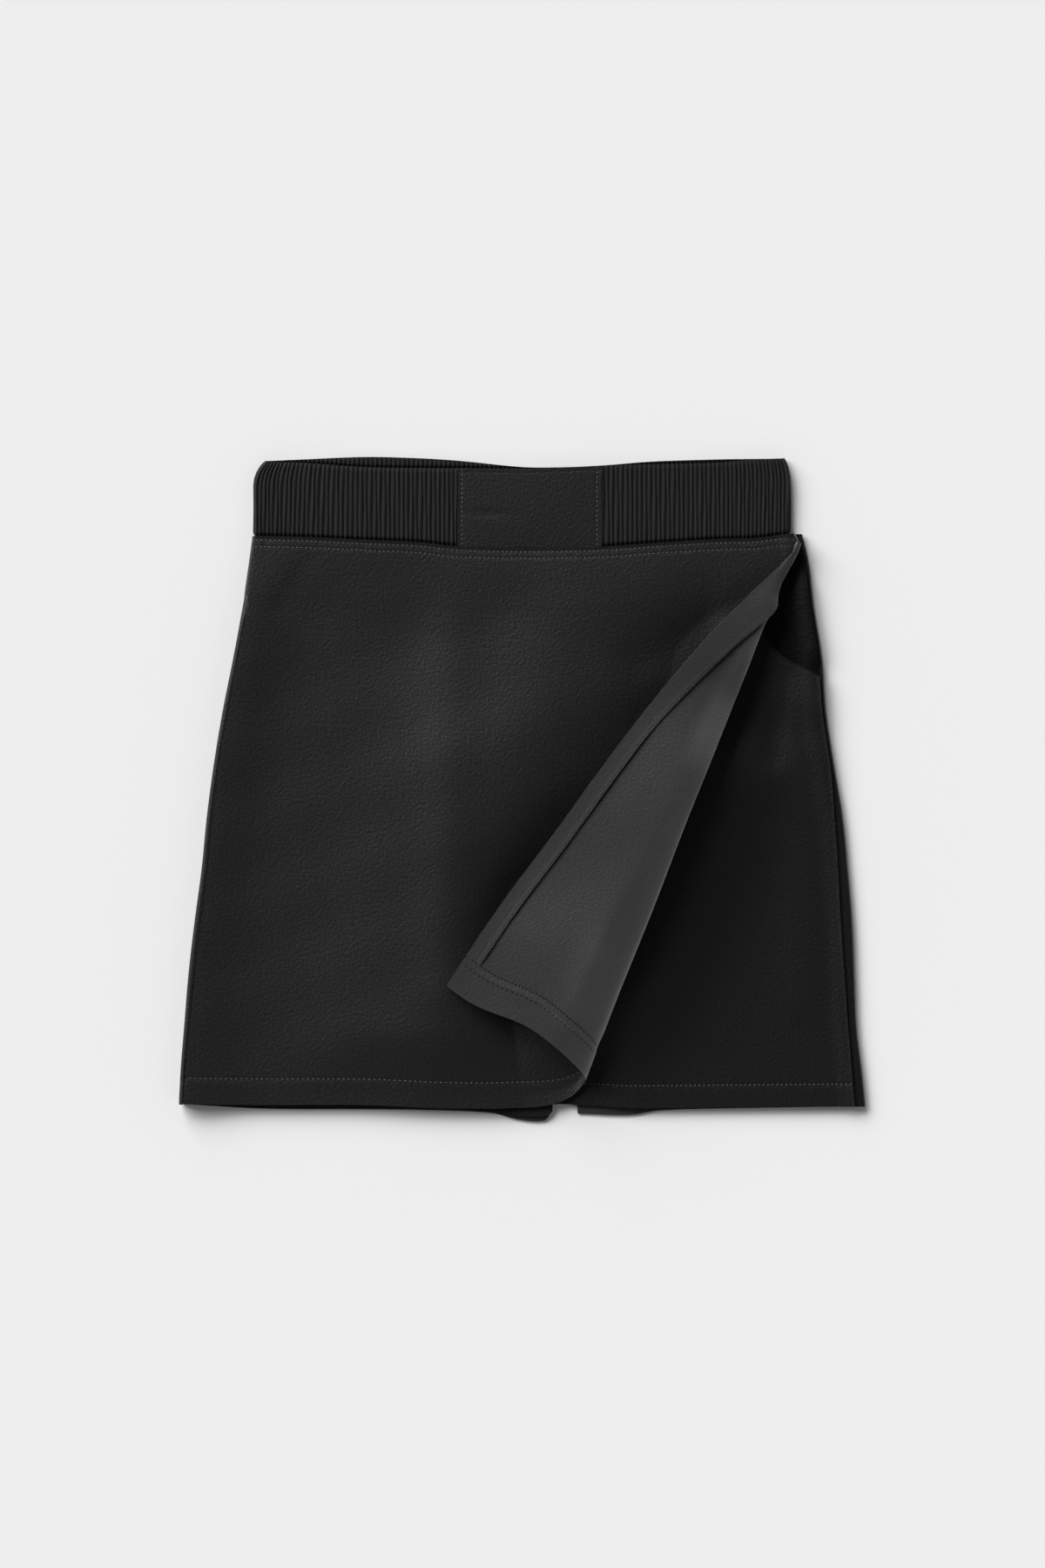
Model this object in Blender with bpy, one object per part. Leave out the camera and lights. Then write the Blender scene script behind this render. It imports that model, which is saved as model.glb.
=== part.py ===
"""A school skort laid flat with its front up: shorts under a wrap-over skirt front.

The right free edge of the wrap panel is folded back in a soft roll, so its inside, the facing along
the edge and the turned-up hem show. +X runs to the right of the garment as it lies, +Y runs from the
hem to the waist, +Z points up from the surface that it lies on. Tables and named sizes are in
millimetres; the meshes are in metres.
"""

import math
from collections import namedtuple

import bmesh
import bpy
from mathutils import Vector

# ---------------------------------------------------------------- driving dimensions, millimetres

MM = 0.001
CLOTH = 1.0                # wall of a cut piece
GAP = 0.3                  # between two pieces at a seam, or one lying on the other
FACING_GAP = 0.4           # between the curved flap and its facing
RIB_BAND = 1.6             # wall of the ribbed band between its ribs
RIB_RAISE = 0.45           # height of one rib
RIB_PITCH = 2.68           # from rib to rib
TAB = 1.9                  # wall of the plain tab, folded double
TAB_LEFT = -37.2
TAB_RIGHT = 45.8
WAIST_HALF = 154.0         # half of the flat waistband
SEAM_Y = 143.0             # level of the waist seam
WAIST_CORNER = 3.4         # how far the top corners of the band are rounded in
LAYER_LIFT = 1.3           # the fronts rise over the pocket facing, and where they meet the band
SEAM_LIFT_REACH = 55.0     # that rise to the band starts this far below the waist seam
SEAM_LIFT_FULL = 8.0       # and is full this far below it
FOLD_LIFT = 0.9            # extra fullness beside the right side fold
BAND_HOLLOW = 0.6          # between the two layers of the flat waistband
LEAST_RIDGE = 0.9          # the flat wrap panel clears the leg fronts by this much more, on average
LEG_RIDGE = 1.0
LEG_SWELL = 6.5            # the right leg stands up where the roll of the wrap lies on it
LEG_SWELL_WIDTH = 48.0
HEM_FADE = 46.0            # the creases of the wrap die out this far above its hem
HEM_SHARE = 0.2            # the part of them that is left at the hem
SIDE_RISE = 2.8            # the wrap stands up a little towards its left side
SIDE_RISE_WIDTH = 25.0
SIDE_HALF = 2.1            # half of the width of a side fold, where the layers stand higher than that
POCKET_OVERLAP = 5.0       # facing hidden beside the pocket mouth
POCKET_FOOT = 52.0         # lowest level of the facing, below the mouth
HEM_Y = -182.5             # level of the leg hems
HEM_TURN = 0.942           # the wrap hem is turned up below this part of its length
FACING_WIDE = 14.0
FACING_NARROW = 10.5

# Side folds from hem to waist: where each fold lies and how far the back cloth turns over the front.
Side = namedtuple("Side", "y left_fold left_turn right_fold right_turn")
SIDES = [
    Side(-181.0, -196.75, 1.6, 196.75, 5.8),
    Side(-162.0, -195.75, 1.9, 194.75, 5.4),
    Side(-137.0, -193.75, 3.0, 191.75, 4.5),
    Side(-107.0, -191.25, 3.5, 190.50, 5.4),
    Side(-77.0, -187.75, 3.7, 189.25, 6.2),
    Side(-47.0, -183.75, 3.4, 186.75, 5.3),
    Side(-17.0, -180.75, 2.9, 183.75, 4.4),
    Side(13.0, -176.75, 2.7, 178.75, 1.8),
    Side(43.0, -171.75, 3.2, 174.25, 1.6),
    Side(73.0, -165.75, 1.9, 172.00, 1.6),
    Side(103.0, -160.25, 1.8, 167.25, 1.6),
    Side(128.0, -156.75, 1.6, 164.25, 1.6),
    Side(145.0, -154.50, 1.6, 160.25, 1.6),
]

# Hem lines from left to right.
Hem = namedtuple("Hem", "x wrap front back")
HEMS = [
    Hem(-197.0, -180.3, -180.0, -180.5),
    Hem(-150.0, -181.0, -182.4, -183.2),
    Hem(-90.0, -181.0, -182.5, -183.6),
    Hem(-50.0, -182.6, -183.0, -184.2),
    Hem(-17.0, -183.0, -184.6, -185.8),
    Hem(-3.0, -182.6, -187.2, -189.4),
    Hem(13.0, -182.2, -187.6, -190.1),
    Hem(17.0, -182.2, -184.8, -185.2),
    Hem(32.0, -182.2, -182.7, -186.0),
    Hem(62.0, -182.2, -182.7, -186.8),
    Hem(80.0, -182.2, -182.7, -184.2),
    Hem(150.0, -182.2, -182.2, -182.6),
    Hem(197.0, -182.2, -182.0, -182.0),
]

# Waistband from left to right: top edges of its front and back, and the seams under them.
Waist = namedtuple("Waist", "x front_top back_top seam back_seam")
WAISTS = [
    Waist(-154.5, 187.4, 188.2, 145.2, 145.2),
    Waist(-127.0, 187.0, 189.2, 144.6, 144.2),
    Waist(-90.0, 184.6, 190.6, 142.9, 143.2),
    Waist(-60.0, 184.1, 189.9, 141.6, 143.0),
    Waist(-37.0, 184.0, 188.5, 139.2, 143.0),
    Waist(0.0, 183.7, 184.9, 138.2, 143.0),
    Waist(23.0, 184.3, 184.8, 138.3, 143.0),
    Waist(46.0, 185.5, 185.8, 138.9, 143.0),
    Waist(75.0, 186.2, 188.0, 141.0, 143.0),
    Waist(112.0, 187.2, 189.2, 143.3, 143.6),
    Waist(134.0, 189.0, 189.5, 143.9, 144.4),
    Waist(152.0, 189.6, 189.7, 146.3, 146.3),
    Waist(156.0, 189.6, 189.7, 146.4, 146.4),
]

# Centre seam and inner legs from hem to waist.
Centre = namedtuple("Centre", "y left_leg right_front right_back")
CENTRES = [
    Centre(-190.0, 17.0, 17.9, 32.0),
    Centre(-150.0, 19.5, 20.3, 30.5),
    Centre(-100.0, 22.5, 23.2, 27.5),
    Centre(-64.5, 24.0, 24.4, 24.4),
    Centre(40.0, 15.5, 15.8, 15.8),
    Centre(144.0, 5.0, 5.3, 5.3),
]

# Curved mouth of the pocket, from the side seam up to the waist.
Mouth = namedtuple("Mouth", "y x")
MOUTHS = [
    Mouth(61.5, 171.8),
    Mouth(66.5, 162.8),
    Mouth(71.5, 152.8),
    Mouth(78.0, 145.3),
    Mouth(84.0, 140.8),
    Mouth(98.0, 136.6),
    Mouth(123.0, 134.8),
    Mouth(144.5, 134.3),
]

# The folded-back part of the wrap panel: sections across it, from the waist seam (0) to the hem (1).
# fold is the silhouette of the roll, edge the free edge, rise the height of that edge over the panel;
# nose and crown are the heights of the silhouette and of the top of the roll over the panel.
Fold = namedtuple("Fold", "part fold_x fold_y edge_x edge_y rise nose crown")
FOLDS = [
    Fold(0.00, 157.50, 146.2, 154.10, 146.3, 1.5, 0.8, 1.6),
    Fold(0.06, 153.20, 127.5, 149.00, 129.5, 1.9, 1.5, 2.8),
    Fold(0.12, 145.30, 109.0, 135.75, 117.0, 3.2, 2.8, 5.0),
    Fold(0.24, 129.75, 71.0, 108.50, 90.0, 6.4, 5.2, 9.2),
    Fold(0.39, 110.75, 24.0, 76.25, 52.5, 7.8, 6.0, 12.8),
    Fold(0.52, 94.25, -16.5, 50.25, 19.0, 8.0, 6.4, 14.2),
    Fold(0.68, 75.00, -67.0, 19.50, -23.3, 7.4, 6.4, 15.0),
    Fold(0.85, 54.00, -120.0, -13.25, -67.5, 5.8, 6.0, 15.8),
    Fold(1.00, 36.75, -167.0, -43.25, -112.0, 3.4, 5.4, 16.0),
]
FOLD_ACROSS = Vector((0.931, -0.365))      # square to the fold, away from the panel
FOLD_ALONG = Vector((0.365, 0.931))        # up the fold
ROLL_UNDER = 36.6          # how far before the silhouette the hem starts to lift
ROLL_UNDER_LEAST = 2.6
ROLL_OVER = 25.0           # from the silhouette to the top of the roll, at the hem
ROLL_OVER_LEAST = 1.3
ROLL_DRIFT = 10.0          # how far the hem runs up the fold on that way
FLAP_BULGE = 7.0           # the hem of the flap bows out this far
CLEARANCE_START = 4.0      # the creases of the leg start this far beyond the roll
CLEARANCE_RUN = 12.0       # and are full this much further on

# Soft ridges (+) and troughs (-) of the panels, each a line with a width and a height.
Crease = namedtuple("Crease", "x0 y0 x1 y1 width height")
WRAP_CREASES = [
    Crease(62.0, 94.0, 0.0, 20.0, 48.0, 3.4),
    Crease(-8.0, -5.0, -40.0, -140.0, 62.0, 4.0),
    Crease(-41.0, 92.0, -44.0, -110.0, 16.0, 1.0),
    Crease(148.0, 108.0, 70.0, 74.0, 14.0, -1.3),
    Crease(116.0, 62.0, 16.0, -62.0, 26.0, -4.4),
    Crease(2.0, -84.0, 8.0, -150.0, 25.0, -4.0),
    Crease(-122.0, 131.0, -140.0, 103.0, 7.0, -0.25),
]
LEG_CREASES = [
    Crease(147.0, 64.0, 143.0, 20.0, 9.0, -1.5),
    Crease(136.0, 10.0, 109.0, -70.0, 22.0, -3.6),
    Crease(105.0, -84.0, 101.0, -146.0, 11.0, -1.6),
    Crease(163.0, 20.0, 160.0, -120.0, 12.0, 0.5),
]


# ---------------------------------------------------------------- shaping helpers


def ease(value):
    """Goes smoothly from 0 to 1 as the value does."""
    value = min(max(value, 0.0), 1.0)
    return value * value * (3.0 - 2.0 * value)


def blend(start, end, share):
    return start + (end - start) * share


def read(table, column, at):
    """One column of a table, on a smooth curve through its rows; the first column is the place."""
    key = table[0]._fields[0]
    places = [getattr(row, key) for row in table]
    values = [getattr(row, column) for row in table]
    if at <= places[0]:
        return values[0]
    if at >= places[-1]:
        return values[-1]
    index = 0
    while places[index + 1] < at:
        index += 1

    def slope(near):
        low = max(near - 1, 0)
        high = min(near + 1, len(places) - 1)
        return (values[high] - values[low]) / (places[high] - places[low])

    span = places[index + 1] - places[index]
    step = (at - places[index]) / span
    start, end = slope(index) * span, slope(index + 1) * span
    rise = values[index + 1] - values[index]
    bend = step * (1.0 - step)
    return values[index] + rise * ease(step) + bend * ((1.0 - step) * start - step * end)


def hump(distance, width):
    """1 where the distance is 0, fading out over the width."""
    return math.exp(-((distance / width) ** 2))


def creased(creases, x, y):
    """Height of the soft ridges and troughs at a point."""
    height = 0.0
    for crease in creases:
        run = Vector((crease.x1 - crease.x0, crease.y1 - crease.y0))
        away = Vector((x - crease.x0, y - crease.y0))
        share = away.dot(run) / run.length_squared
        aside = abs(away.cross(run)) / run.length
        beyond = max(-share, share - 1.0, 0.0) * run.length
        height += crease.height * hump(math.hypot(aside, beyond), crease.width)
    return height


def steps(count, start=0.0, end=1.0):
    """Evenly spaced stations from start to end."""
    return [blend(start, end, index / count) for index in range(count + 1)]


def wall(name, across, along, place):
    """A closed wall of cloth: a grid pulled out to two faces, then laid out.

    place(a, b, face) gives a point in millimetres for the stations a across and b along;
    face is 0 on one side of the wall and 1 on the other.
    """
    mesh = bmesh.new()
    columns, rows = len(across) - 1, len(along) - 1
    bmesh.ops.create_grid(mesh, x_segments=columns, y_segments=rows, size=0.5)
    pulled = bmesh.ops.extrude_face_region(mesh, geom=mesh.faces[:], use_keep_orig=True)
    for item in pulled["geom"]:
        if isinstance(item, bmesh.types.BMVert):
            item.co.z = 1.0
    for vertex in mesh.verts:
        column = round((vertex.co.x + 0.5) * columns)
        row = round((vertex.co.y + 0.5) * rows)
        point = place(across[column], along[row], round(vertex.co.z))
        vertex.co = Vector(point) * MM
    bmesh.ops.triangulate(mesh, faces=mesh.faces[:], quad_method="SHORT_EDGE")
    bmesh.ops.recalc_face_normals(mesh, faces=mesh.faces[:])
    data = bpy.data.meshes.new(name)
    mesh.to_mesh(data)
    mesh.free()
    data.shade_smooth()
    data.set_sharp_from_angle(angle=math.radians(50.0))
    return bpy.data.objects.new(name, data)


def cloth_material(name, grey, roughness):
    material = bpy.data.materials.new(name)
    material.use_nodes = True
    shader = material.node_tree.nodes["Principled BSDF"]
    shader.inputs["Base Color"].default_value = (grey, grey, grey, 1.0)
    shader.inputs["Roughness"].default_value = roughness
    shader.inputs["Metallic"].default_value = 0.0
    return material


# ---------------------------------------------------------------- levels of the layers


def seam_lift(x, y):
    """The panels rise to the waist seam, where they are stitched over the band."""
    below = read(WAISTS, "seam", x) - y
    return ease((SEAM_LIFT_REACH - below) / (SEAM_LIFT_REACH - SEAM_LIFT_FULL))


def pocket_lift(x, y):
    """The leg front rises over the pocket facing."""
    return ease((x - 104.0) / 16.0) * ease((y - 28.0) / 25.0)


def fold_lift(x, y):
    """The right leg front is fuller beside the side fold."""
    return FOLD_LIFT * ease((x - read(SIDES, "right_fold", y) + 16.0) / 10.0)


def leg_swell(x, y):
    """Fullness of the right leg along the fold of the wrap; none at its waist, hem and side."""
    middle = FOLDS[len(FOLDS) // 2 + 1]
    beside = Vector((x - middle.fold_x, y - middle.fold_y)).dot(FOLD_ACROSS)
    ends = ease((50.0 - y) / 60.0) * ease((y + 178.0) / 72.0)
    side = ease((read(SIDES, "right_fold", y) - x) / 30.0)
    return LEG_SWELL * hump(beside, LEG_SWELL_WIDTH) * ends * side


def front_level(x, y):
    """Underside of the leg fronts."""
    lift = 1.0 - (1.0 - seam_lift(x, y)) * (1.0 - pocket_lift(x, y))
    return CLOTH + GAP + LAYER_LIFT * lift + fold_lift(x, y) + leg_swell(x, y)


def wrap_level(x, y):
    """Underside of the flat part of the wrap panel."""
    full = blend(HEM_SHARE, 1.0, ease((y - HEM_Y) / HEM_FADE))
    ridge = max(GAP, creased(WRAP_CREASES, x, y) * full + LEAST_RIDGE)
    side = SIDE_RISE * hump(x - read(SIDES, "left_fold", y), SIDE_RISE_WIDTH) * (1.0 - seam_lift(x, y))
    return front_level(x, y) + CLOTH + GAP + ridge + side


def left_top(y):
    """Upper face of the back cloth where it has turned over the left fold."""
    x = read(SIDES, "left_fold", y) + 2.0
    return wrap_level(x, y) + CLOTH


def right_top(y):
    """Upper face of the back cloth where it has turned over the right fold."""
    return CLOTH + GAP + FOLD_LIFT + CLOTH


def side_half(top):
    """Half of the width of a side fold under this top."""
    return min(top / 2.0, SIDE_HALF)


def left_seam(y):
    """Left side seam: the edge that the turned back cloth and the wrap panel share."""
    return read(SIDES, "left_fold", y) + max(read(SIDES, "left_turn", y), side_half(left_top(y)) + GAP)


def right_seam(y):
    turned = max(read(SIDES, "right_turn", y), side_half(right_top(y)) + GAP)
    return read(SIDES, "right_fold", y) - turned


def down_to(level):
    """How far down the garment a level lies: 0 at the waist seam, 1 at the hem."""
    return (SEAM_Y - level) / (SEAM_Y - HEM_Y)


# ---------------------------------------------------------------- waistband


def band_path(place, face):
    """X and Z round the ribbed band, from the tab's left edge round the back to its right edge.

    place runs 0-1 over the left front, 1-2 round the left fold, 2-3 over the back, 3-4 round the
    right fold and 4-5 over the right front. face 1 is the outer face of the band.
    """
    outer = RIB_BAND + BAND_HOLLOW / 2.0
    reach = outer if face else outer - RIB_BAND
    middle = outer
    left, right = -WAIST_HALF + outer, WAIST_HALF - outer
    if place <= 1.0:
        return blend(TAB_LEFT - GAP, left, place), middle + reach, 1.0
    if place < 2.0:
        turn = (place - 1.0) * math.pi
        return left - reach * math.sin(turn), middle + reach * math.cos(turn), 1.0 - ease(place - 1.0)
    if place <= 3.0:
        return blend(left, right, place - 2.0), middle - reach, 0.0
    if place < 4.0:
        turn = (place - 3.0) * math.pi
        return right + reach * math.sin(turn), middle - reach * math.cos(turn), ease(place - 3.0)
    return blend(right, TAB_RIGHT + GAP, place - 4.0), middle + reach, 1.0


def rib_height(place):
    """Raised ribs on the outer face of the front, which run out at the side folds."""
    if 1.0 < place < 4.0:
        return 0.0
    width = WAIST_HALF + TAB_LEFT if place <= 1.0 else WAIST_HALF - TAB_RIGHT
    share = place if place <= 1.0 else place - 4.0
    ribs = round(width / RIB_PITCH)
    return RIB_RAISE * math.sin(math.pi * share * ribs) ** 2


def band_point(place, up, face):
    x, z, front = band_path(place, face)
    seam = read(WAISTS, "seam", x)
    bottom = blend(read(WAISTS, "back_seam", x), seam, front) + GAP / 2.0
    top = blend(read(WAISTS, "back_top", x), read(WAISTS, "front_top", x), front)
    corner = WAIST_CORNER * ease((up - 0.72) / 0.28) * (x / WAIST_HALF) ** 3
    if face:
        z += rib_height(place)
    return x - corner, blend(bottom, top, up), z


def band_stations():
    left_ribs = round((WAIST_HALF + TAB_LEFT) / RIB_PITCH)
    right_ribs = round((WAIST_HALF - TAB_RIGHT) / RIB_PITCH)
    stations = steps(left_ribs * 4)
    stations += steps(6, 1.0, 2.0)[1:]
    stations += steps(24, 2.0, 3.0)[1:]
    stations += steps(6, 3.0, 4.0)[1:]
    stations += steps(right_ribs * 4, 4.0, 5.0)[1:]
    return stations


def tab_point(across, up, face):
    x = blend(TAB_LEFT, TAB_RIGHT, across)
    bottom = read(WAISTS, "seam", x) + GAP / 2.0
    z = RIB_BAND + BAND_HOLLOW + face * TAB
    return x, blend(bottom, read(WAISTS, "front_top", x), up), z


# ---------------------------------------------------------------- shorts


def back_point(side, across, down, face):
    """A point of one back: 0-1 over the flat cloth, 1-2 round the side fold, 2-3 over the front."""
    y = blend(SEAM_Y, HEM_Y, down)
    fold = read(SIDES, side + "_fold", y)
    centre = read(CENTRES, "left_leg" if side == "left" else "right_back", y)
    seam = left_seam(y) if side == "left" else right_seam(y)
    top = left_top(y) if side == "left" else right_top(y)
    way = -1.0 if side == "left" else 1.0
    outer, half = top / 2.0, side_half(top)
    inset = 0.0 if face else CLOTH
    reach = outer - inset
    turn_x = fold - way * half
    front = 0.0
    if across <= 1.0:
        x, z = blend(centre + way * GAP / 2.0, turn_x, across), outer - reach
    elif across < 2.0:
        turn = (across - 1.0) * math.pi
        x, z = turn_x + way * (half - inset) * math.sin(turn), outer - reach * math.cos(turn)
        front = ease(across - 1.0)
    else:
        x, z = blend(turn_x, seam, across - 2.0), outer + reach
        front = 1.0
    top_y = blend(read(WAISTS, "back_seam", x), read(WAISTS, "seam", x), front) - GAP / 2.0
    return x, blend(top_y, read(HEMS, "back", x), down), z


def leg_front_point(inner, outer, across, down, face):
    """A point of a leg front between its inner edge and its outer edge at one level."""
    y = blend(SEAM_Y, HEM_Y, down)
    x = blend(inner(y), outer(y), across)
    y = blend(read(WAISTS, "seam", x) - GAP / 2.0, read(HEMS, "front", x), down)
    ridge = max(-leg_swell(x, y), creased(LEG_CREASES, x, y) + LEG_RIDGE) * clear_of_wrap(x, y)
    return x, y, front_level(x, y) + ridge + face * CLOTH


def clear_of_wrap(x, y):
    """1 on the part of the right leg that the wrap panel leaves free, 0 under the panel."""
    part = (FOLDS[0].fold_y - y) / (FOLDS[0].fold_y - FOLDS[-1].fold_y)
    return ease((x - read(FOLDS, "fold_x", part) - CLEARANCE_START) / CLEARANCE_RUN)


def left_front_point(across, down, face):
    return leg_front_point(
        lambda y: read(CENTRES, "left_leg", y) - GAP / 2.0,
        lambda y: left_seam(y) + GAP,
        across, down, face,
    )


def right_front_edge(y):
    """Outer edge of the right front: the pocket mouth above, the side seam below."""
    if y >= MOUTHS[0].y:
        return read(MOUTHS, "x", y)
    return right_seam(y) - GAP


def right_front_point(across, down, face):
    return leg_front_point(
        lambda y: read(CENTRES, "right_front", y) + GAP / 2.0,
        right_front_edge,
        across, down, face,
    )


def pocket_facing_point(across, down, face):
    """The facing lies behind the mouth and fills the opening up to the waist and side seams."""
    y = blend(SEAM_Y, HEM_Y, down)
    hidden = read(MOUTHS, "x", y + MOUTHS[0].y - POCKET_FOOT) - POCKET_OVERLAP
    x = blend(hidden, right_seam(y) - GAP, across)
    y = blend(read(WAISTS, "seam", x) - GAP / 2.0, read(HEMS, "front", x), down)
    return x, y, CLOTH + GAP + fold_lift(x, y) + face * CLOTH


# ---------------------------------------------------------------- wrap panel, its roll and its flap


def wrap_row(x, part):
    """Y of one row of the flat panel, from its waist seam (0) to its hem (1)."""
    return blend(read(WAISTS, "seam", x) - GAP / 2.0, read(HEMS, "wrap", x), part)


def bend_through(start, middle, end, share):
    """A point on the curve that starts towards the middle point and ends coming from it."""
    return start * (1 - share) ** 2 + middle * 2 * share * (1 - share) + end * share ** 2


def roll_frame(part):
    """The named points of one section across the roll and the flap, in plan, with their heights."""
    wall_beyond = CLOTH / 2.0 + CLOTH * ease((part - HEM_TURN + 0.04) / 0.04)
    silhouette = Vector((read(FOLDS, "fold_x", part), read(FOLDS, "fold_y", part)))
    silhouette -= FOLD_ACROSS * wall_beyond
    edge = Vector((read(FOLDS, "edge_x", part), read(FOLDS, "edge_y", part)))
    lift_x = silhouette.x - ROLL_UNDER_LEAST - (ROLL_UNDER - ROLL_UNDER_LEAST) * part
    lift_off = Vector((lift_x, wrap_row(lift_x, part)))
    run = max((silhouette.y - lift_off.y) / FOLD_ALONG.y, 0.0)
    under = silhouette - FOLD_ALONG * run
    over = blend(ROLL_OVER_LEAST, ROLL_OVER, part)
    crown = silhouette - FOLD_ACROSS * over + FOLD_ALONG * ROLL_DRIFT * part
    above = silhouette + FOLD_ALONG * ROLL_DRIFT * 0.7 * part
    floor = wrap_level(lift_off.x, lift_off.y) + CLOTH / 2.0
    nose = floor + read(FOLDS, "nose", part)
    top = floor + read(FOLDS, "crown", part)
    edge_floor = wrap_level(edge.x, edge.y) + CLOTH / 2.0
    end = edge_floor + read(FOLDS, "rise", part)
    return (lift_off, under, silhouette, above, crown, edge), (floor, nose, top, end)


def wrap_middle(across, part):
    """Middle of the wall: 0-1 flat, 1-2 under the silhouette, 2-3 over it, 3-4 the flap."""
    plan_points, heights = roll_frame(part)
    lift_off, under, silhouette, above, crown, edge = plan_points
    floor, nose, top, end = heights
    if across <= 1.0:
        nominal = blend(SEAM_Y, HEM_Y, part)
        x = blend(left_seam(nominal) + GAP, lift_off.x, across)
        y = wrap_row(x, part)
        return Vector((x, y, wrap_level(x, y) + CLOTH / 2.0))
    if across <= 2.0:
        share = across - 1.0
        plan = bend_through(lift_off, under, silhouette, share)
        gone = 1.0 - (1.0 - share) ** 2
        swell = max(leg_swell(plan.x, plan.y) - leg_swell(lift_off.x, lift_off.y), 0.0) * (1.0 - share)
        height = floor + swell + (nose - floor) * (1.0 - math.sqrt(1.0 - gone * gone))
        return Vector((plan.x, plan.y, height))
    if across <= 3.0:
        share = across - 2.0
        plan = bend_through(silhouette, above, crown, share)
        left = 1.0 - share * share
        return Vector((plan.x, plan.y, nose + (top - nose) * math.sqrt(1.0 - left * left)))
    share = across - 3.0
    plan = crown.lerp(edge, share)
    chord = edge - crown
    aside = Vector((-chord.y, chord.x)).normalized() * -1.0
    bow = FLAP_BULGE * part * math.sin(math.pi * share ** 1.2) * (1.0 - 0.75 * share)
    plan = plan + aside * bow
    return Vector((plan.x, plan.y, blend(top, end, 0.35 * share + 0.65 * ease(share))))


def outward(across, part):
    """The right side of the cloth at a point of the wrap panel: up where it lies flat."""
    step = 0.004
    low, high = max(across - step, 0.0), min(across + step, 4.0)
    above, below = max(part - step, 0.0), min(part + step, 1.0)
    right = wrap_middle(high, part) - wrap_middle(low, part)
    up = wrap_middle(across, above) - wrap_middle(across, below)
    return right.cross(up).normalized()


def hem_doubling(across, part):
    """The turned-up hem doubles the wall inside the roll and the flap."""
    return CLOTH * ease((across - 1.3) / 0.6) if part > HEM_TURN else 0.0


def wrap_point(across, part, face):
    inner = CLOTH / 2.0 + hem_doubling(across, part)
    offset = CLOTH / 2.0 if face else -inner
    return wrap_middle(across, part) + outward(across, part) * offset


def facing_point(across, part, face):
    """The facing follows the inside of the flap, along its free edge."""
    crown, edge = roll_frame(part)[0][4:]
    width = blend(FACING_WIDE, FACING_NARROW, ease(part / 0.45))
    start = 4.0 - min(width / (edge - crown).length, 0.94)
    station = blend(start, 4.0, across)
    offset = CLOTH / 2.0 + FACING_GAP + face * CLOTH
    return wrap_middle(station, part) - outward(station, part) * offset


# ---------------------------------------------------------------- the pieces


def build_waistband(cloth, rib):
    band = wall("waist_rib", band_stations(), steps(3), band_point)
    band.data.materials.append(rib)
    tab = wall("waist_tab", steps(10), steps(2), tab_point)
    tab.data.materials.append(cloth)
    return [band, tab]


def build_shorts(cloth, left_rows, right_rows):
    flat = [0.0, 0.02, 0.04, 0.08, 0.14, 0.22, 0.36, 0.52, 0.7, 0.86, 1.0]
    turned = [1.17, 1.33, 1.5, 1.67, 1.83, 2.0, 3.0]

    def left_back(across, down, face):
        return back_point("left", across, down, face)

    def right_back(across, down, face):
        return back_point("right", across, down, face)

    facing_rows = [down for down in right_rows if down <= down_to(POCKET_FOOT) + 0.001]
    left_across = [0.0, 0.03, 0.06] + steps(12, 0.1, 1.0)
    right_across = steps(14)
    pieces = [
        wall("shorts_back_left", flat + turned, left_rows, left_back),
        wall("shorts_back_right", flat + turned, right_rows, right_back),
        wall("shorts_front_left", left_across, left_rows, left_front_point),
        wall("shorts_front_right", right_across, right_rows, right_front_point),
        wall("pocket_facing_right", steps(5), facing_rows, pocket_facing_point),
    ]
    for piece in pieces:
        piece.data.materials.append(cloth)
    return pieces


def build_wrap(cloth, rows):
    across = steps(20) + [1.2, 1.4, 1.6, 1.8, 2.0, 2.25, 2.5, 2.75, 3.0]
    across += [3.0 + step for step in steps(9)[1:]]
    panel = wall("wrap_panel", across, rows, wrap_point)
    facing_rows = [0.045] + [row for row in rows if 0.05 < row < HEM_TURN - 0.01] + [HEM_TURN - 0.006]
    facing = wall("wrap_facing", steps(4), facing_rows, facing_point)
    for piece in (panel, facing):
        piece.data.materials.append(cloth)
    return [panel, facing]


def build():
    for thing in list(bpy.data.objects):
        bpy.data.objects.remove(thing, do_unlink=True)
    collection = bpy.data.collections.new("school_skort")
    bpy.context.scene.collection.children.link(collection)
    cloth = cloth_material("black_twill", 0.018, 0.85)
    rib = cloth_material("black_rib", 0.014, 0.9)
    left_rows = [0.0, 0.03, 0.06, 0.09, 0.12, 0.16, 0.2, 0.25, 0.3, 0.36, 0.42, 0.48, 0.54, 0.6]
    left_rows += [0.66, 0.72, 0.78, 0.84, 0.9, HEM_TURN - 0.002, HEM_TURN + 0.002, 0.97, 1.0]
    levels = [SEAM_Y, 133.0, 123.0, 110.0, 98.0, 90.0, 84.0, 78.0, 74.5, 71.5, 69.0, 66.5]
    levels += [64.0, 61.5, POCKET_FOOT, 42.0, 28.0, 8.0, -17.0, -47.0, -77.0, -107.0, -137.0]
    right_rows = [down_to(level) for level in levels + [-162.0, HEM_Y]]
    pieces = build_waistband(cloth, rib)
    pieces += build_shorts(cloth, left_rows, right_rows)
    pieces += build_wrap(cloth, left_rows)
    for piece in pieces:
        collection.objects.link(piece)


build()
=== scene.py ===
import math
from collections import namedtuple

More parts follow.
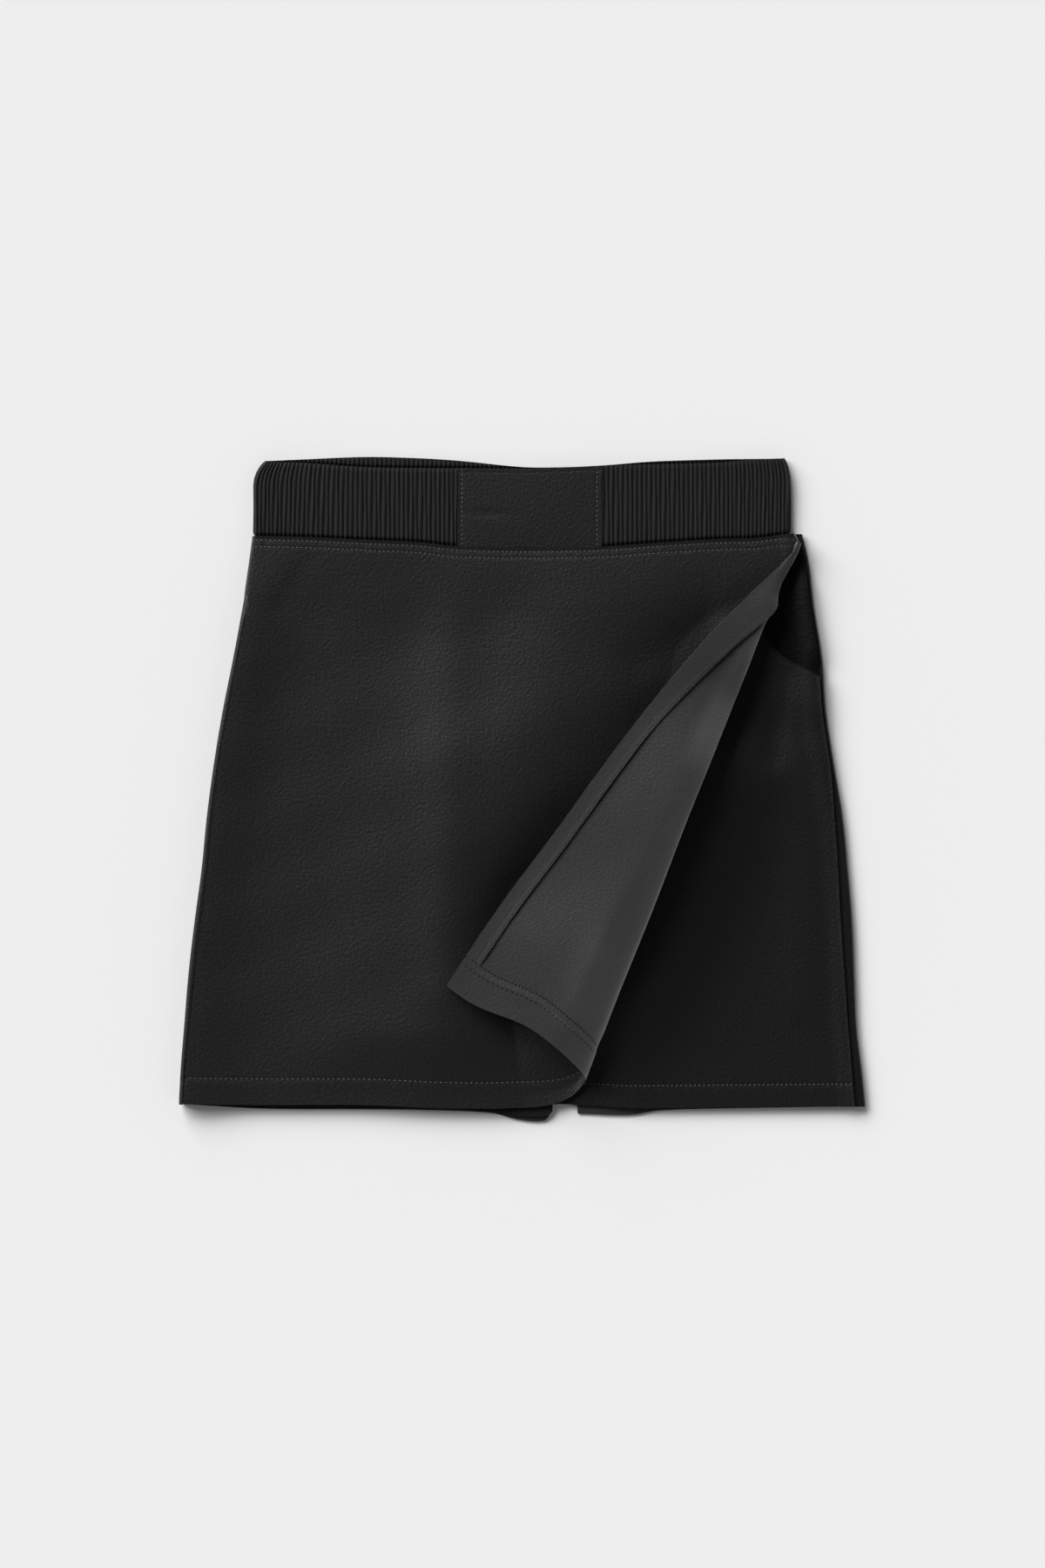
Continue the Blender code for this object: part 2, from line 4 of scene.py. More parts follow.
import bmesh
import bpy
import numpy as np
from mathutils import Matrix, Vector


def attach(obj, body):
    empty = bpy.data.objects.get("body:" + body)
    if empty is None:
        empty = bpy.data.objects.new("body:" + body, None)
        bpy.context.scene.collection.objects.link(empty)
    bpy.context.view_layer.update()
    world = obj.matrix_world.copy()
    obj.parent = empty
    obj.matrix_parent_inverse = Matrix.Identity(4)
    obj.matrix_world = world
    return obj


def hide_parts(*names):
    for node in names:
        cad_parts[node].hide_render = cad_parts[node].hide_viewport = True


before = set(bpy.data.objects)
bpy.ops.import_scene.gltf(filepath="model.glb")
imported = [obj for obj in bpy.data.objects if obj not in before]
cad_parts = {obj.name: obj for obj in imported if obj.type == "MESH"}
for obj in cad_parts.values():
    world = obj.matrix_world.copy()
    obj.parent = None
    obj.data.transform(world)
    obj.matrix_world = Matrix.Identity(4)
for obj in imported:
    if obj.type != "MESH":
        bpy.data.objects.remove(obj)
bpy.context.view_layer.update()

# ---- The table and the light
# The skort lies front up on a plain white table. Two wide soft windows stand beyond its waist and on
# its left, and white walls fill the shadows a little. The camera looks straight down at it.

TABLE_SIZE = 8.0
TABLE_DROP = 0.0004        # the stitches under the skort reach almost this far down


def set_inputs(shader, **values):
    """Sets plain inputs of a shader node by name, with _ for a space."""
    for name, value in values.items():
        shader.inputs[name.replace("_", " ")].default_value = value


def new_material(name):
    """A new material with its node tree and its shader."""
    made = bpy.data.materials.new(name)
    made.use_nodes = True
    return made, made.node_tree, made.node_tree.nodes["Principled BSDF"]


def new_object(name, data):
    made = bpy.data.objects.new(name, data)
    bpy.context.scene.collection.objects.link(made)
    return made


bpy.ops.object.select_all(action="DESELECT")
bpy.ops.mesh.primitive_plane_add(size=TABLE_SIZE, location=(0.0, 0.0, -TABLE_DROP))
table = bpy.context.object
table.name = "white_table"
white, tree, paint = new_material("table white")
set_inputs(paint, Base_Color=(0.83, 0.83, 0.83, 1.0), Roughness=0.9, Specular_IOR_Level=0.1)
table.data.materials.append(white)

WINDOW_POWER = 3.0
WINDOW_WIDTH = math.radians(32.0)    # as it looks from the table
for name, way in (("window left", (0.77, -0.48, -0.42)), ("window beyond", (0.42, -0.80, -0.42))):
    lamp = bpy.data.lights.new(name, "SUN")
    lamp.energy = WINDOW_POWER
    lamp.angle = WINDOW_WIDTH
    window = new_object(name, lamp)
    window.rotation_euler = Vector(way).to_track_quat("-Z", "Y").to_euler()

# The room is white at the height of the table and dark overhead.
room = bpy.data.worlds.new("white room")
room.use_nodes = True
tree = room.node_tree
direction = tree.nodes.new("ShaderNodeTexCoord")
height = tree.nodes.new("ShaderNodeSeparateXYZ")
tree.links.new(direction.outputs["Generated"], height.inputs[0])
walls = tree.nodes.new("ShaderNodeMapRange")
walls.interpolation_type = "SMOOTHSTEP"
set_inputs(walls, From_Min=0.2, From_Max=0.8, To_Min=0.75, To_Max=0.03)
tree.links.new(height.outputs["Z"], walls.inputs["Value"])
background = tree.nodes["Background"]
set_inputs(background, Color=(1.0, 1.0, 1.0, 1.0))
tree.links.new(walls.outputs["Result"], background.inputs["Strength"])
bpy.context.scene.world = room
bpy.context.scene.view_settings.view_transform = "Standard"

VIEW_HEIGHT = 2.4          # of the lens over the table, metres
VIEW_LENGTH = 0.9          # of table from the bottom to the top of the picture
VIEW_X = 0.00025
VIEW_Y = 0.003
lens = bpy.data.cameras.new("camera")
lens.sensor_width = 36.0
lens.lens = lens.sensor_width * VIEW_HEIGHT / VIEW_LENGTH
camera = new_object("camera", lens)
camera.location = (VIEW_X, VIEW_Y, VIEW_HEIGHT)
bpy.context.scene.camera = camera

# ---- The backs of the shorts
# Two backs of black twill lie on the table, joined down the middle. Each turns up round its side fold
# to the side seam on the front. Their hems are turned in and sewn with one row.

MM = 0.001
WALL = 0.7                 # thickness of the cloth
GAP = 0.3
LAYER_LIFT = 1.3           # the fronts rise over the pocket, and where they meet the band
SEAM_LIFT_REACH = 55.0
SEAM_LIFT_FULL = 8.0
SEAM_Y = 143.0
HEM_Y = -182.5
CLOTH_LENGTH = SEAM_Y - HEM_Y
HEM_DEPTH = 12.8           # from the hem's edge up to its row of stitches
HEM_TUCK = 0.2             # the turned hem thickens the back's underside
LEFT_STACK = 4.4           # height of the layers inside the left side fold
RIGHT_STACK = 3.2
SIDE_RISE = 2.8            # the layers stand up a little towards the left side
SIDE_HALF = 2.1            # half of the width of a side fold
RIGHT_TURN_LEAST = 1.9
SHOULDER_Y = 96.0          # above this the panel covers the left side fold
SHOULDER_RUN = 14.0
SHOULDER_TOP = 2.4
ROW_DENT = 0.1             # a sewn row presses the cloth in
Row = namedtuple("Row", "name below width")
BACK_ROWS = [
    Row("waist_upper", 2.4, 0.7),
    Row("waist_lower", 6.2, 0.7),
    Row("hem", CLOTH_LENGTH - HEM_DEPTH, 0.8),
]

Side = namedtuple("Side", "y left_fold left_turn right_fold right_turn")
SIDES = [
    Side(-181.0, -196.75, 1.6, 196.75, 5.8),
    Side(-162.0, -195.75, 1.9, 194.75, 5.4),
    Side(-137.0, -193.75, 3.0, 191.75, 4.5),
    Side(-107.0, -191.25, 3.5, 190.50, 5.4),
    Side(-77.0, -187.75, 3.7, 189.25, 6.2),
    Side(-47.0, -183.75, 3.4, 186.75, 5.3),
    Side(-17.0, -180.75, 2.9, 183.75, 4.4),
    Side(13.0, -176.75, 2.7, 178.75, 1.8),
    Side(43.0, -171.75, 3.2, 174.25, 1.6),
    Side(73.0, -165.75, 1.9, 172.00, 1.6),
    Side(103.0, -160.25, 1.8, 167.25, 1.6),
    Side(128.0, -156.75, 1.6, 164.25, 1.6),
    Side(145.0, -154.50, 1.6, 160.25, 1.6),
]
Hem = namedtuple("Hem", "x wrap front back")
HEMS = [
    Hem(-197.0, -180.3, -180.0, -180.5),
    Hem(-150.0, -181.0, -182.4, -183.2),
    Hem(-90.0, -181.0, -182.5, -183.6),
    Hem(-50.0, -182.6, -183.0, -184.2),
    Hem(-17.0, -183.0, -184.6, -185.8),
    Hem(-3.0, -182.6, -187.2, -189.4),
    Hem(13.0, -182.2, -187.6, -190.1),
    Hem(17.0, -182.2, -184.8, -185.2),
    Hem(17.6, -182.2, -181.0, -185.2),
    Hem(32.0, -182.2, -181.2, -186.0),
    Hem(62.0, -182.2, -182.7, -186.8),
    Hem(80.0, -182.2, -182.7, -184.2),
    Hem(150.0, -182.2, -182.2, -182.6),
    Hem(197.0, -182.2, -182.0, -182.0),
]
Waist = namedtuple("Waist", "x front_top back_top seam back_seam")
WAISTS = [
    Waist(-154.5, 187.4, 188.2, 145.2, 145.2),
    Waist(-127.0, 187.0, 189.2, 144.6, 144.2),
    Waist(-90.0, 184.6, 190.6, 142.9, 143.2),
    Waist(-60.0, 184.1, 189.9, 141.6, 143.0),
    Waist(-37.0, 184.0, 188.5, 139.2, 143.0),
    Waist(0.0, 183.7, 184.9, 138.2, 143.0),
    Waist(23.0, 184.3, 184.8, 138.3, 143.0),
    Waist(46.0, 185.5, 185.8, 138.9, 143.0),
    Waist(75.0, 186.2, 188.0, 141.0, 143.0),
    Waist(112.0, 187.2, 189.2, 143.3, 143.6),
    Waist(134.0, 189.0, 189.5, 143.9, 144.4),
    Waist(152.0, 189.6, 189.7, 146.3, 146.3),
    Waist(156.0, 189.6, 189.7, 146.4, 146.4),
]
Centre = namedtuple("Centre", "y left_leg right_front right_back")
CENTRES = [
    Centre(-190.0, 17.0, 17.9, 32.0),
    Centre(-150.0, 19.5, 20.3, 30.5),
    Centre(-100.0, 22.5, 23.2, 27.5),
    Centre(-64.5, 24.0, 24.4, 24.4),
    Centre(40.0, 15.5, 15.8, 15.8),
    Centre(144.0, 5.0, 5.3, 5.3),
]


def ease(value):
    """Goes smoothly from 0 to 1 as the value does."""
    value = np.clip(value, 0.0, 1.0)
    return value * value * (3.0 - 2.0 * value)


def blend(start, end, share):
    return start + (end - start) * share


def hump(distance, width):
    """1 where the distance is 0, fading out over the width."""
    return np.exp(-((distance / width) ** 2))


def read(rows, column, at):
    """One column of a table, on a smooth curve through its rows; the first column is the place."""
    places = np.array([row[0] for row in rows])
    values = np.array([getattr(row, column) for row in rows])
    at = np.clip(at, places[0], places[-1])
    near = np.arange(len(rows))
    low, high = np.maximum(near - 1, 0), np.minimum(near + 1, len(rows) - 1)
    slopes = (values[high] - values[low]) / (places[high] - places[low])
    index = np.clip(np.searchsorted(places, at) - 1, 0, len(rows) - 2)
    span = places[index + 1] - places[index]
    step = (at - places[index]) / span
    start, end = slopes[index] * span, slopes[index + 1] * span
    rise = values[index + 1] - values[index]
    bend = step * (1.0 - step) * ((1.0 - step) * start - step * end)
    return values[index] + rise * ease(step) + bend


def stations(*runs):
    """Stations along a side of a sheet, from (start, end, spacing) runs that follow each other."""
    places = [runs[0][0]]
    for start, end, spacing in runs:
        count = max(round(abs(end - start) / spacing), 1)
        places += [blend(start, end, (step + 1) / count) for step in range(count)]
    return np.array(places)


def facing_out(middle, way=1.0):
    """Unit vectors square to a sheet, [row, column, xyz]; up for rows that run to the hem."""
    square = np.cross(np.gradient(middle, axis=0), np.gradient(middle, axis=1)) * way
    return square / np.linalg.norm(square, axis=2, keepdims=True)


def rim_of(rows, columns):
    """Row and column of each point round the rim of a sheet, in order."""
    rim = [(0, column) for column in range(columns)]
    rim += [(row, columns - 1) for row in range(1, rows)]
    rim += [(rows - 1, column) for column in range(columns - 2, -1, -1)]
    rim += [(row, 0) for row in range(rows - 2, 0, -1)]
    return rim


RIM_ROUND = 0.04           # a cut edge bulges by this share of its thickness
CREASE_ANGLE = math.radians(50.0)


def sew_sheet(name, front, back, cut, painted_sheen_and_wear, outside, inside):
    """A closed sheet of cloth between two grids of points in millimetres, [row, column, xyz].

    cut gives each point's place on the flat cloth. The grid after it marks where the colour is lightened,
    painted highlight and painted sheen along edges and over the roll, and where the roughness is lowered.
    """
    rows, columns = front.shape[:2]
    count = rows * columns
    rim = rim_of(rows, columns)
    index = np.arange(count).reshape(rows, columns)
    tread = [index[row, column] for row, column in rim]
    inner = [index[min(max(row, 1), rows - 2), min(max(column, 1), columns - 2)] for row, column in rim]
    middle = (front + back).reshape(count, 3) / 2.0
    away = middle[tread] - middle[inner]
    away /= np.maximum(np.linalg.norm(away, axis=1, keepdims=True), 1e-6)
    thick = np.linalg.norm((front - back).reshape(count, 3)[tread], axis=1, keepdims=True)
    edge = middle[tread] + away * thick * RIM_ROUND
    points = np.concatenate([front.reshape(count, 3), back.reshape(count, 3), edge]) * MM
    quads = np.stack([index[:-1, :-1], index[1:, :-1], index[1:, 1:], index[:-1, 1:]], axis=2)
    quads = quads.reshape(-1, 4)
    step = np.arange(len(rim))
    after = np.roll(step, -1)
    tread = np.array(tread)
    upper = np.stack([tread[step], tread[after], 2 * count + after, 2 * count + step], axis=1)
    lower = [2 * count + step, 2 * count + after, count + tread[after], count + tread[step]]
    lower = np.stack(lower, axis=1)
    faces = np.concatenate([quads, quads[:, ::-1] + count, upper, lower])
    data = bpy.data.meshes.new(name)
    data.from_pydata(points.tolist(), [], faces.tolist())
    data.materials.append(outside)
    data.materials.append(inside)
    sides = np.zeros(len(faces), dtype=np.int32)
    sides[len(quads):2 * len(quads)] = 1
    data.polygons.foreach_set("material_index", sides)
    flat = cut.reshape(count, 2)
    placed = np.concatenate([flat, flat, flat[tread]]) * MM
    corners = np.empty(len(data.loops), dtype=np.int32)
    data.loops.foreach_get("vertex_index", corners)
    data.uv_layers.new(name="cut").data.foreach_set("uv", placed[corners].ravel())
    painted_sheen_and_wear_values = painted_sheen_and_wear.reshape(count)
    painted_sheen_and_wear_mask = data.attributes.new("painted_sheen_and_wear", "FLOAT", "POINT")
    painted_sheen_and_wear_mask.data.foreach_set("value", np.concatenate([painted_sheen_and_wear_values, painted_sheen_and_wear_values, painted_sheen_and_wear_values[tread]]).astype(np.float32))
    data.shade_smooth()
    mesh = bmesh.new()
    mesh.from_mesh(data)
    bmesh.ops.recalc_face_normals(mesh, faces=mesh.faces)
    mesh.to_mesh(data)
    mesh.free()
    data.set_sharp_from_angle(angle=CREASE_ANGLE)
    return new_object(name, data)


def wall_faces(middle, way=1.0, front=0.0, back=0.0):
    """The two faces of a sheet of cloth about its middle; front and back are added to each side."""
    out = facing_out(middle, way)
    return (
        middle + out * (WALL / 2.0 + np.asarray(front))[..., None],
        middle - out * (WALL / 2.0 + np.asarray(back))[..., None],
    )


def on_sheet(grid, row, column):
    """Points of a grid at fractional rows and columns."""
    row = np.clip(row, 0.0, grid.shape[0] - 1.001)
    column = np.clip(column, 0.0, grid.shape[1] - 1.001)
    top, left = row.astype(int), column.astype(int)
    down, right = (row - top)[:, None], (column - left)[:, None]
    upper = blend(grid[top, left], grid[top, left + 1], right)
    lower = blend(grid[top + 1, left], grid[top + 1, left + 1], right)
    return blend(upper, lower, down)


def node(tree, kind, **inputs):
    """Adds a shader node and sets its plain inputs."""
    made = tree.nodes.new(kind)
    set_inputs(made, **inputs)
    return made


def sums(tree, operation, first, second=None):
    """A Math node on sockets or numbers; returns its value."""
    made = tree.nodes.new("ShaderNodeMath")
    made.operation = operation
    for place, value in enumerate((first, second)):
        if value is None:
            continue
        if isinstance(value, (int, float)):
            made.inputs[place].default_value = value
        else:
            tree.links.new(value, made.inputs[place])
    return made.outputs[0]


def weighted(tree, *terms):
    """The sum of sockets, each multiplied by its weight."""
    total = None
    for socket, weight in terms:
        share = sums(tree, "MULTIPLY", socket, weight)
        total = share if total is None else sums(tree, "ADD", total, share)
    return total


def pattern(name, *sizes):
    """An empty node group for a cloth's surface: its place on the cut in, its height and tone out."""
    group = bpy.data.node_groups.new(name, "ShaderNodeTree")
    group.interface.new_socket("Cut", in_out="INPUT", socket_type="NodeSocketVector")
    for size in sizes:
        group.interface.new_socket(size, in_out="INPUT", socket_type="NodeSocketFloat")
    for result in ("Height", "Tone"):
        group.interface.new_socket(result, in_out="OUTPUT", socket_type="NodeSocketFloat")
    entry = group.nodes.new("NodeGroupInput")
    place = group.nodes.new("ShaderNodeSeparateXYZ")
    group.links.new(entry.outputs["Cut"], place.inputs[0])
    return group, entry, group.nodes.new("NodeGroupOutput"), place.outputs["X"], place.outputs["Y"]


def grain(group, entry, scale, detail):
    """Noise on the flat cut of the cloth."""
    noise = node(group, "ShaderNodeTexNoise", Scale=scale, Detail=detail)
    group.links.new(entry.outputs["Cut"], noise.inputs["Vector"])
    return noise.outputs[0]


def twill_weave():
    """Steep diagonal lines of a fine twill with its threads, and the cloth's slow unevenness."""
    group, entry, leave, across, along = pattern("twill weave", "Line Pitch", "Thread Pitch")
    slant = weighted(group, (across, 0.87), (along, -0.49))
    phase = sums(group, "DIVIDE", slant, entry.outputs["Line Pitch"])
    line = sums(group, "SINE", sums(group, "MULTIPLY", phase, math.tau))
    weft = sums(group, "DIVIDE", along, entry.outputs["Thread Pitch"])
    thread = sums(group, "SINE", sums(group, "MULTIPLY", sums(group, "ADD", weft, phase), math.tau))
    lines = sums(group, "ADD", line, 1.0)
    threads = sums(group, "ADD", thread, 1.0)
    weave = weighted(group, (lines, 0.35), (threads, 0.15))
    fuzz = grain(group, entry, 1400.0, 2.0)
    speckle = grain(group, entry, 560.0, 2.0)
    slub = grain(group, entry, 160.0, 3.0)
    cloud = grain(group, entry, 22.0, 2.0)
    height = weighted(group, (weave, 1.0), (slub, 0.35), (fuzz, 0.5), (speckle, 6.0))
    tone = weighted(group, (weave, 0.55), (fuzz, 0.5), (slub, 0.35), (cloud, 0.3))
    group.links.new(height, leave.inputs["Height"])
    group.links.new(tone, leave.inputs["Tone"])
    return group


TWILL_WEAVE = twill_weave()


def on_cut(tree, group, **sizes):
    """A cloth's pattern, laid on its flat cut."""
    laid = tree.nodes.new("ShaderNodeGroup")
    laid.node_tree = group
    set_inputs(laid, **sizes)
    cut = tree.nodes.new("ShaderNodeUVMap")
    cut.uv_map = "cut"
    tree.links.new(cut.outputs[0], laid.inputs["Cut"])
    return laid


def finish(tree, shader, shade, pattern, strength, depth):
    """Gives a shader a grey shade, and the relief of its cloth's pattern."""
    tint = tree.nodes.new("ShaderNodeCombineColor")
    for channel in range(3):
        tree.links.new(shade, tint.inputs[channel])
    tree.links.new(tint.outputs[0], shader.inputs["Base Color"])
    relief = node(tree, "ShaderNodeBump", Strength=strength, Distance=depth)
    tree.links.new(pattern.outputs["Height"], relief.inputs["Height"])
    tree.links.new(relief.outputs[0], shader.inputs["Normal"])


def twill(name, grey, gloss, sheen, line=0.00062, painted_nap_sheen=0.0):
    """Black polyester twill: grey is its mean shade, gloss its dull shine and sheen its fuzz. The last
    number is a painted sheen: it lightens the base colour at grazing views where the painted-sheen mask is
    set.
    """
    cloth, tree, shader = new_material(name)
    weave = on_cut(tree, TWILL_WEAVE, Line_Pitch=line, Thread_Pitch=line * 0.55)
    # A mask carried on the mesh lightens the base colour, a painted highlight, and lowers the roughness.
    # Through the Layer Weight it also adds a painted sheen to the colour, lighter at grazing views.
    painted_sheen_and_wear = tree.nodes.new("ShaderNodeAttribute")
    painted_sheen_and_wear.attribute_name = "painted_sheen_and_wear"
    painted_sheen_and_wear_mask = painted_sheen_and_wear.outputs["Fac"]
    lift = sums(tree, "ADD", sums(tree, "MULTIPLY", painted_sheen_and_wear_mask, 0.9), 1.0)
    slant = tree.nodes.new("ShaderNodeLayerWeight")
    fuzz = sums(tree, "MULTIPLY", sums(tree, "MINIMUM", slant.outputs["Facing"], 0.45), painted_sheen_and_wear_mask)
    shade = weighted(tree, (weave.outputs["Tone"], grey * 1.25), (fuzz, painted_nap_sheen))
    finish(tree, shader, sums(tree, "MULTIPLY", shade, lift), weave, 1.0, 0.00005)
    rough = weighted(tree, (painted_sheen_and_wear_mask, -0.08), (weave.outputs["Tone"], -0.06))
    tree.links.new(sums(tree, "ADD", rough, 0.56), shader.inputs["Roughness"])
    set_inputs(shader, Specular_IOR_Level=gloss, Sheen_Weight=sheen, Sheen_Roughness=0.45,
               Sheen_Tint=(1.0, 1.0, 1.0, 1.0))
    return cloth


# The shorts' twill is a darker, duller copy of the panel's twill: painted shade, for the light that falls
# off towards the legs.
shorts_twill_painted_darker = twill("black shorts twill", 0.0032, 0.23, 0.06)
wrong_side = twill("black twill inside", 0.0075, 0.23, 1.0, line=0.0007, painted_nap_sheen=0.21)


def thread(name, dark, light, gloss):
    """Twisted sewing thread; its shade runs between dark and light."""
    twine, tree, shader = new_material(name)
    place = tree.nodes.new("ShaderNodeTexCoord")
    strands = node(tree, "ShaderNodeTexNoise", Scale=900.0, Detail=1.0)
    tree.links.new(place.outputs["Object"], strands.inputs["Vector"])
    mix = tree.nodes.new("ShaderNodeMix")
    mix.data_type = "RGBA"
    mix.inputs["A"].default_value = (dark, dark, dark, 1.0)
    mix.inputs["B"].default_value = (light, light, light, 1.0)
    tree.links.new(strands.outputs[0], mix.inputs["Factor"])
    tree.links.new(mix.outputs["Result"], shader.inputs["Base Color"])
    set_inputs(shader, Roughness=0.5, Specular_IOR_Level=gloss)
    return twine


thread_shiny = thread("black thread", 0.02, 0.14, 0.5)

# One stitch, made once: a bead of thread that dips into the cloth at both ends.
BEAD_SIDES = 6
BEAD_DIP = 0.9
bpy.ops.object.select_all(action="DESELECT")
bpy.ops.mesh.primitive_uv_sphere_add(segments=BEAD_SIDES, ring_count=BEAD_SIDES, radius=0.5,
                                     rotation=(0.0, math.pi / 2.0, 0.0))
bead = bpy.context.object
bpy.ops.object.transform_apply(location=True, rotation=True, scale=True)
BEAD_POINTS = np.array([vertex.co[:] for vertex in bead.data.vertices])
BEAD_FACES = [list(face.vertices) for face in bead.data.polygons]
BEAD_POINTS[:, 2] -= BEAD_DIP * BEAD_POINTS[:, 0] ** 2
bpy.data.objects.remove(bead, do_unlink=True)


def sew_stitches(name, starts, ends, outs, thick=0.5, proud=0.10, twine=thread_shiny):
    """Beads of thread from each start to its end, in millimetres; outs point out of the cloth."""
    points, faces = [], []
    for start, end, out in zip(starts, ends, outs):
        run = end - start
        length = np.linalg.norm(run)
        ahead = run / length
        aside = np.cross(out, ahead)
        aside /= np.linalg.norm(aside)
        up = np.cross(ahead, aside)
        middle = (start + end) / 2.0 + up * proud
        local = BEAD_POINTS * (length, thick, thick)
        faces += [[corner + len(points) for corner in face] for face in BEAD_FACES]
        points += (middle + local @ np.stack([ahead, aside, up])).tolist()
    data = bpy.data.meshes.new(name)
    data.from_pydata((np.array(points) * MM).tolist(), [], faces)
    data.materials.append(twine)
    data.shade_smooth()
    row = new_object(name, data)
    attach(row, "root")
    return row


def grown(middle):
    """Running length along each row of a grid, from its first column."""
    steps = np.linalg.norm(np.diff(middle, axis=1), axis=2)
    return np.concatenate([np.zeros((len(middle), 1)), np.cumsum(steps, axis=1)], axis=1)


def run_of_stitches(line, outs, pitch, share=0.5):
    """Starts, ends and outward vectors of the stitches along a line of points."""
    gone = grown(line[None])[0]
    count = max(int(gone[-1] / pitch), 1)
    first = (np.arange(count) + 0.5 - share / 2.0) * gone[-1] / count
    last = first + share * gone[-1] / count
    middle = (first + last) / 2.0

    def at(places, values):
        return np.stack([np.interp(places, gone, values[:, axis]) for axis in range(3)], axis=1)

    return at(first, line), at(last, line), at(middle, outs)


def sew_row(name, face, out, row, column, pitch, **thread):
    """A row of stitches through points of a face, at its fractional rows and columns."""
    row, column = np.broadcast_arrays(row, column)
    run = run_of_stitches(on_sheet(face, row, column), on_sheet(out, row, column), pitch)
    return sew_stitches(name, *run, **thread)


def seam_lift(x, y):
    """The panels rise to the waist seam, where they are stitched over the band."""
    below = read(WAISTS, "seam", x) - y
    return ease((SEAM_LIFT_REACH - below) / (SEAM_LIFT_REACH - SEAM_LIFT_FULL))


def shoulder(y):
    """0 where the back shows beside the panel, 1 above, where the panel covers the left fold."""
    return ease((y - SHOULDER_Y) / SHOULDER_RUN)


def left_top(y):
    """Top of the back's cloth where it has turned over the left fold."""
    lift = seam_lift(read(SIDES, "left_fold", y) + 2.0, y)
    return blend(LEFT_STACK + blend(SIDE_RISE, LAYER_LIFT, lift), SHOULDER_TOP, shoulder(y))


def left_seam(y):
    return read(SIDES, "left_fold", y) + np.maximum(read(SIDES, "left_turn", y), SIDE_HALF + GAP)


def right_seam(y):
    return read(SIDES, "right_fold", y) - np.maximum(read(SIDES, "right_turn", y), RIGHT_TURN_LEAST)


def back_middle(side, across, down):
    """Middle of a back: 0-1 over the table, 1-2 round the side fold, 2-3 over the front."""
    y = blend(SEAM_Y, HEM_Y, down)
    way = -1.0 if side == "left" else 1.0
    fold = read(SIDES, side + "_fold", y)
    centre = read(CENTRES, "left_leg" if side == "left" else "right_back", y) + way * GAP / 2.0
    seam = left_seam(y) if side == "left" else right_seam(y)
    outer = (left_top(y) if side == "left" else RIGHT_STACK + 0.0 * y) / 2.0
    half = np.minimum(outer, SIDE_HALF)
    reach = outer - WALL / 2.0
    turn_x = fold - way * half
    turn = np.clip(across - 1.0, 0.0, 1.0) * math.pi
    flat = blend(centre, turn_x, np.minimum(across, 1.0))
    over = blend(turn_x, seam, np.clip(across - 2.0, 0.0, 1.0))
    bent = turn_x + way * (half - WALL / 2.0) * np.sin(turn)
    x = np.where(across <= 1.0, flat, np.where(across < 2.0, bent, over))
    z = outer - reach * np.cos(turn)
    front = ease(across - 1.0)
    top = blend(read(WAISTS, "back_seam", x), read(WAISTS, "seam", x), front) - GAP / 2.0
    return np.stack([x, blend(top, read(HEMS, "back", x), down), z], axis=2)


def make_back(side):
    way = -1.0 if side == "left" else 1.0
    hem = 1.0 - HEM_DEPTH / CLOTH_LENGTH
    across = stations((0.0, 0.02, 0.005), (0.02, 1.0, 0.0125), (1.0, 2.0, 0.1), (2.0, 3.0, 0.5))[None, :]
    down = stations((0.0, 0.03, 0.002), (0.03, hem - 0.008, 0.012), (hem - 0.008, hem + 0.008, 0.002),
                    (hem + 0.008, 1.0, 0.006))[:, None]
    middle = back_middle(side, across, down)
    below = CLOTH_LENGTH * down + 0.0 * across
    dent = -ROW_DENT * sum(hump(below - row.below, row.width) for row in BACK_ROWS)
    turned = HEM_TUCK * ease((down - hem) / 0.004) + 0.0 * across
    front, back = wall_faces(middle, -way, front=dent, back=turned)
    level = blend(SEAM_Y, HEM_Y, down) + 0.0 * across
    cut = np.stack([middle[:, :1, 0] + way * grown(middle), level], axis=2)
    cloth = sew_sheet(f"back_{side}_twill", front, back, cut, 0.0 * below, shorts_twill_painted_darker, wrong_side)
    out = facing_out(middle, -way)
    columns = np.arange(middle.shape[1], dtype=float)[1:-3]
    for sewn in BACK_ROWS:
        row = np.interp(sewn.below, below[:, 0], np.arange(len(below)))
        sew_row(f"back_{side}_{sewn.name}_stitches", front, out, row, columns, 2.7)
    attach(cloth, "root")
    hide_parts(f"shorts_back_{side}")
    return cloth


back_left = make_back("left")
back_right = make_back("right")

# ---- The waistband
# A band of ribbed elastic knit, folded flat at both sides, goes round the back from one edge of the
# plain tab to the other. Its seams to the cloth below are sewn with two rows.

WAIST_HALF = 154.0
TAB_LEFT = -37.2
TAB_RIGHT = 45.8
BAND_WALL = 1.2
BAND_HOLLOW = 0.6
BAND_SIDE = 1.6            # from the hollow to the outer face
BAND_HEIGHT = 42.0
LEFT_RIBS = 44
RIGHT_RIBS = 42
BACK_RIBS = 116
STEPS_A_RIB = 7
STEPS_A_BACK_RIB = 4
RIB_HEIGHT = 1.15
RIB_ROUND = 0.45           # less makes broad ribs with narrow valleys between them
VALLEY = 0.5               # the valleys lie this far under the wall's face
VALLEY_INSIDE = 0.35
LEFT_CORNER = 6.5          # the band's top corners pull in
RIGHT_CORNER = 3.5
CORNER_FROM = 0.66         # of the band's height
LEFT_LEAN = 1.3            # the ribs lean towards the sides
RIGHT_LEAN = 0.8
RIB_SWAY = 0.22

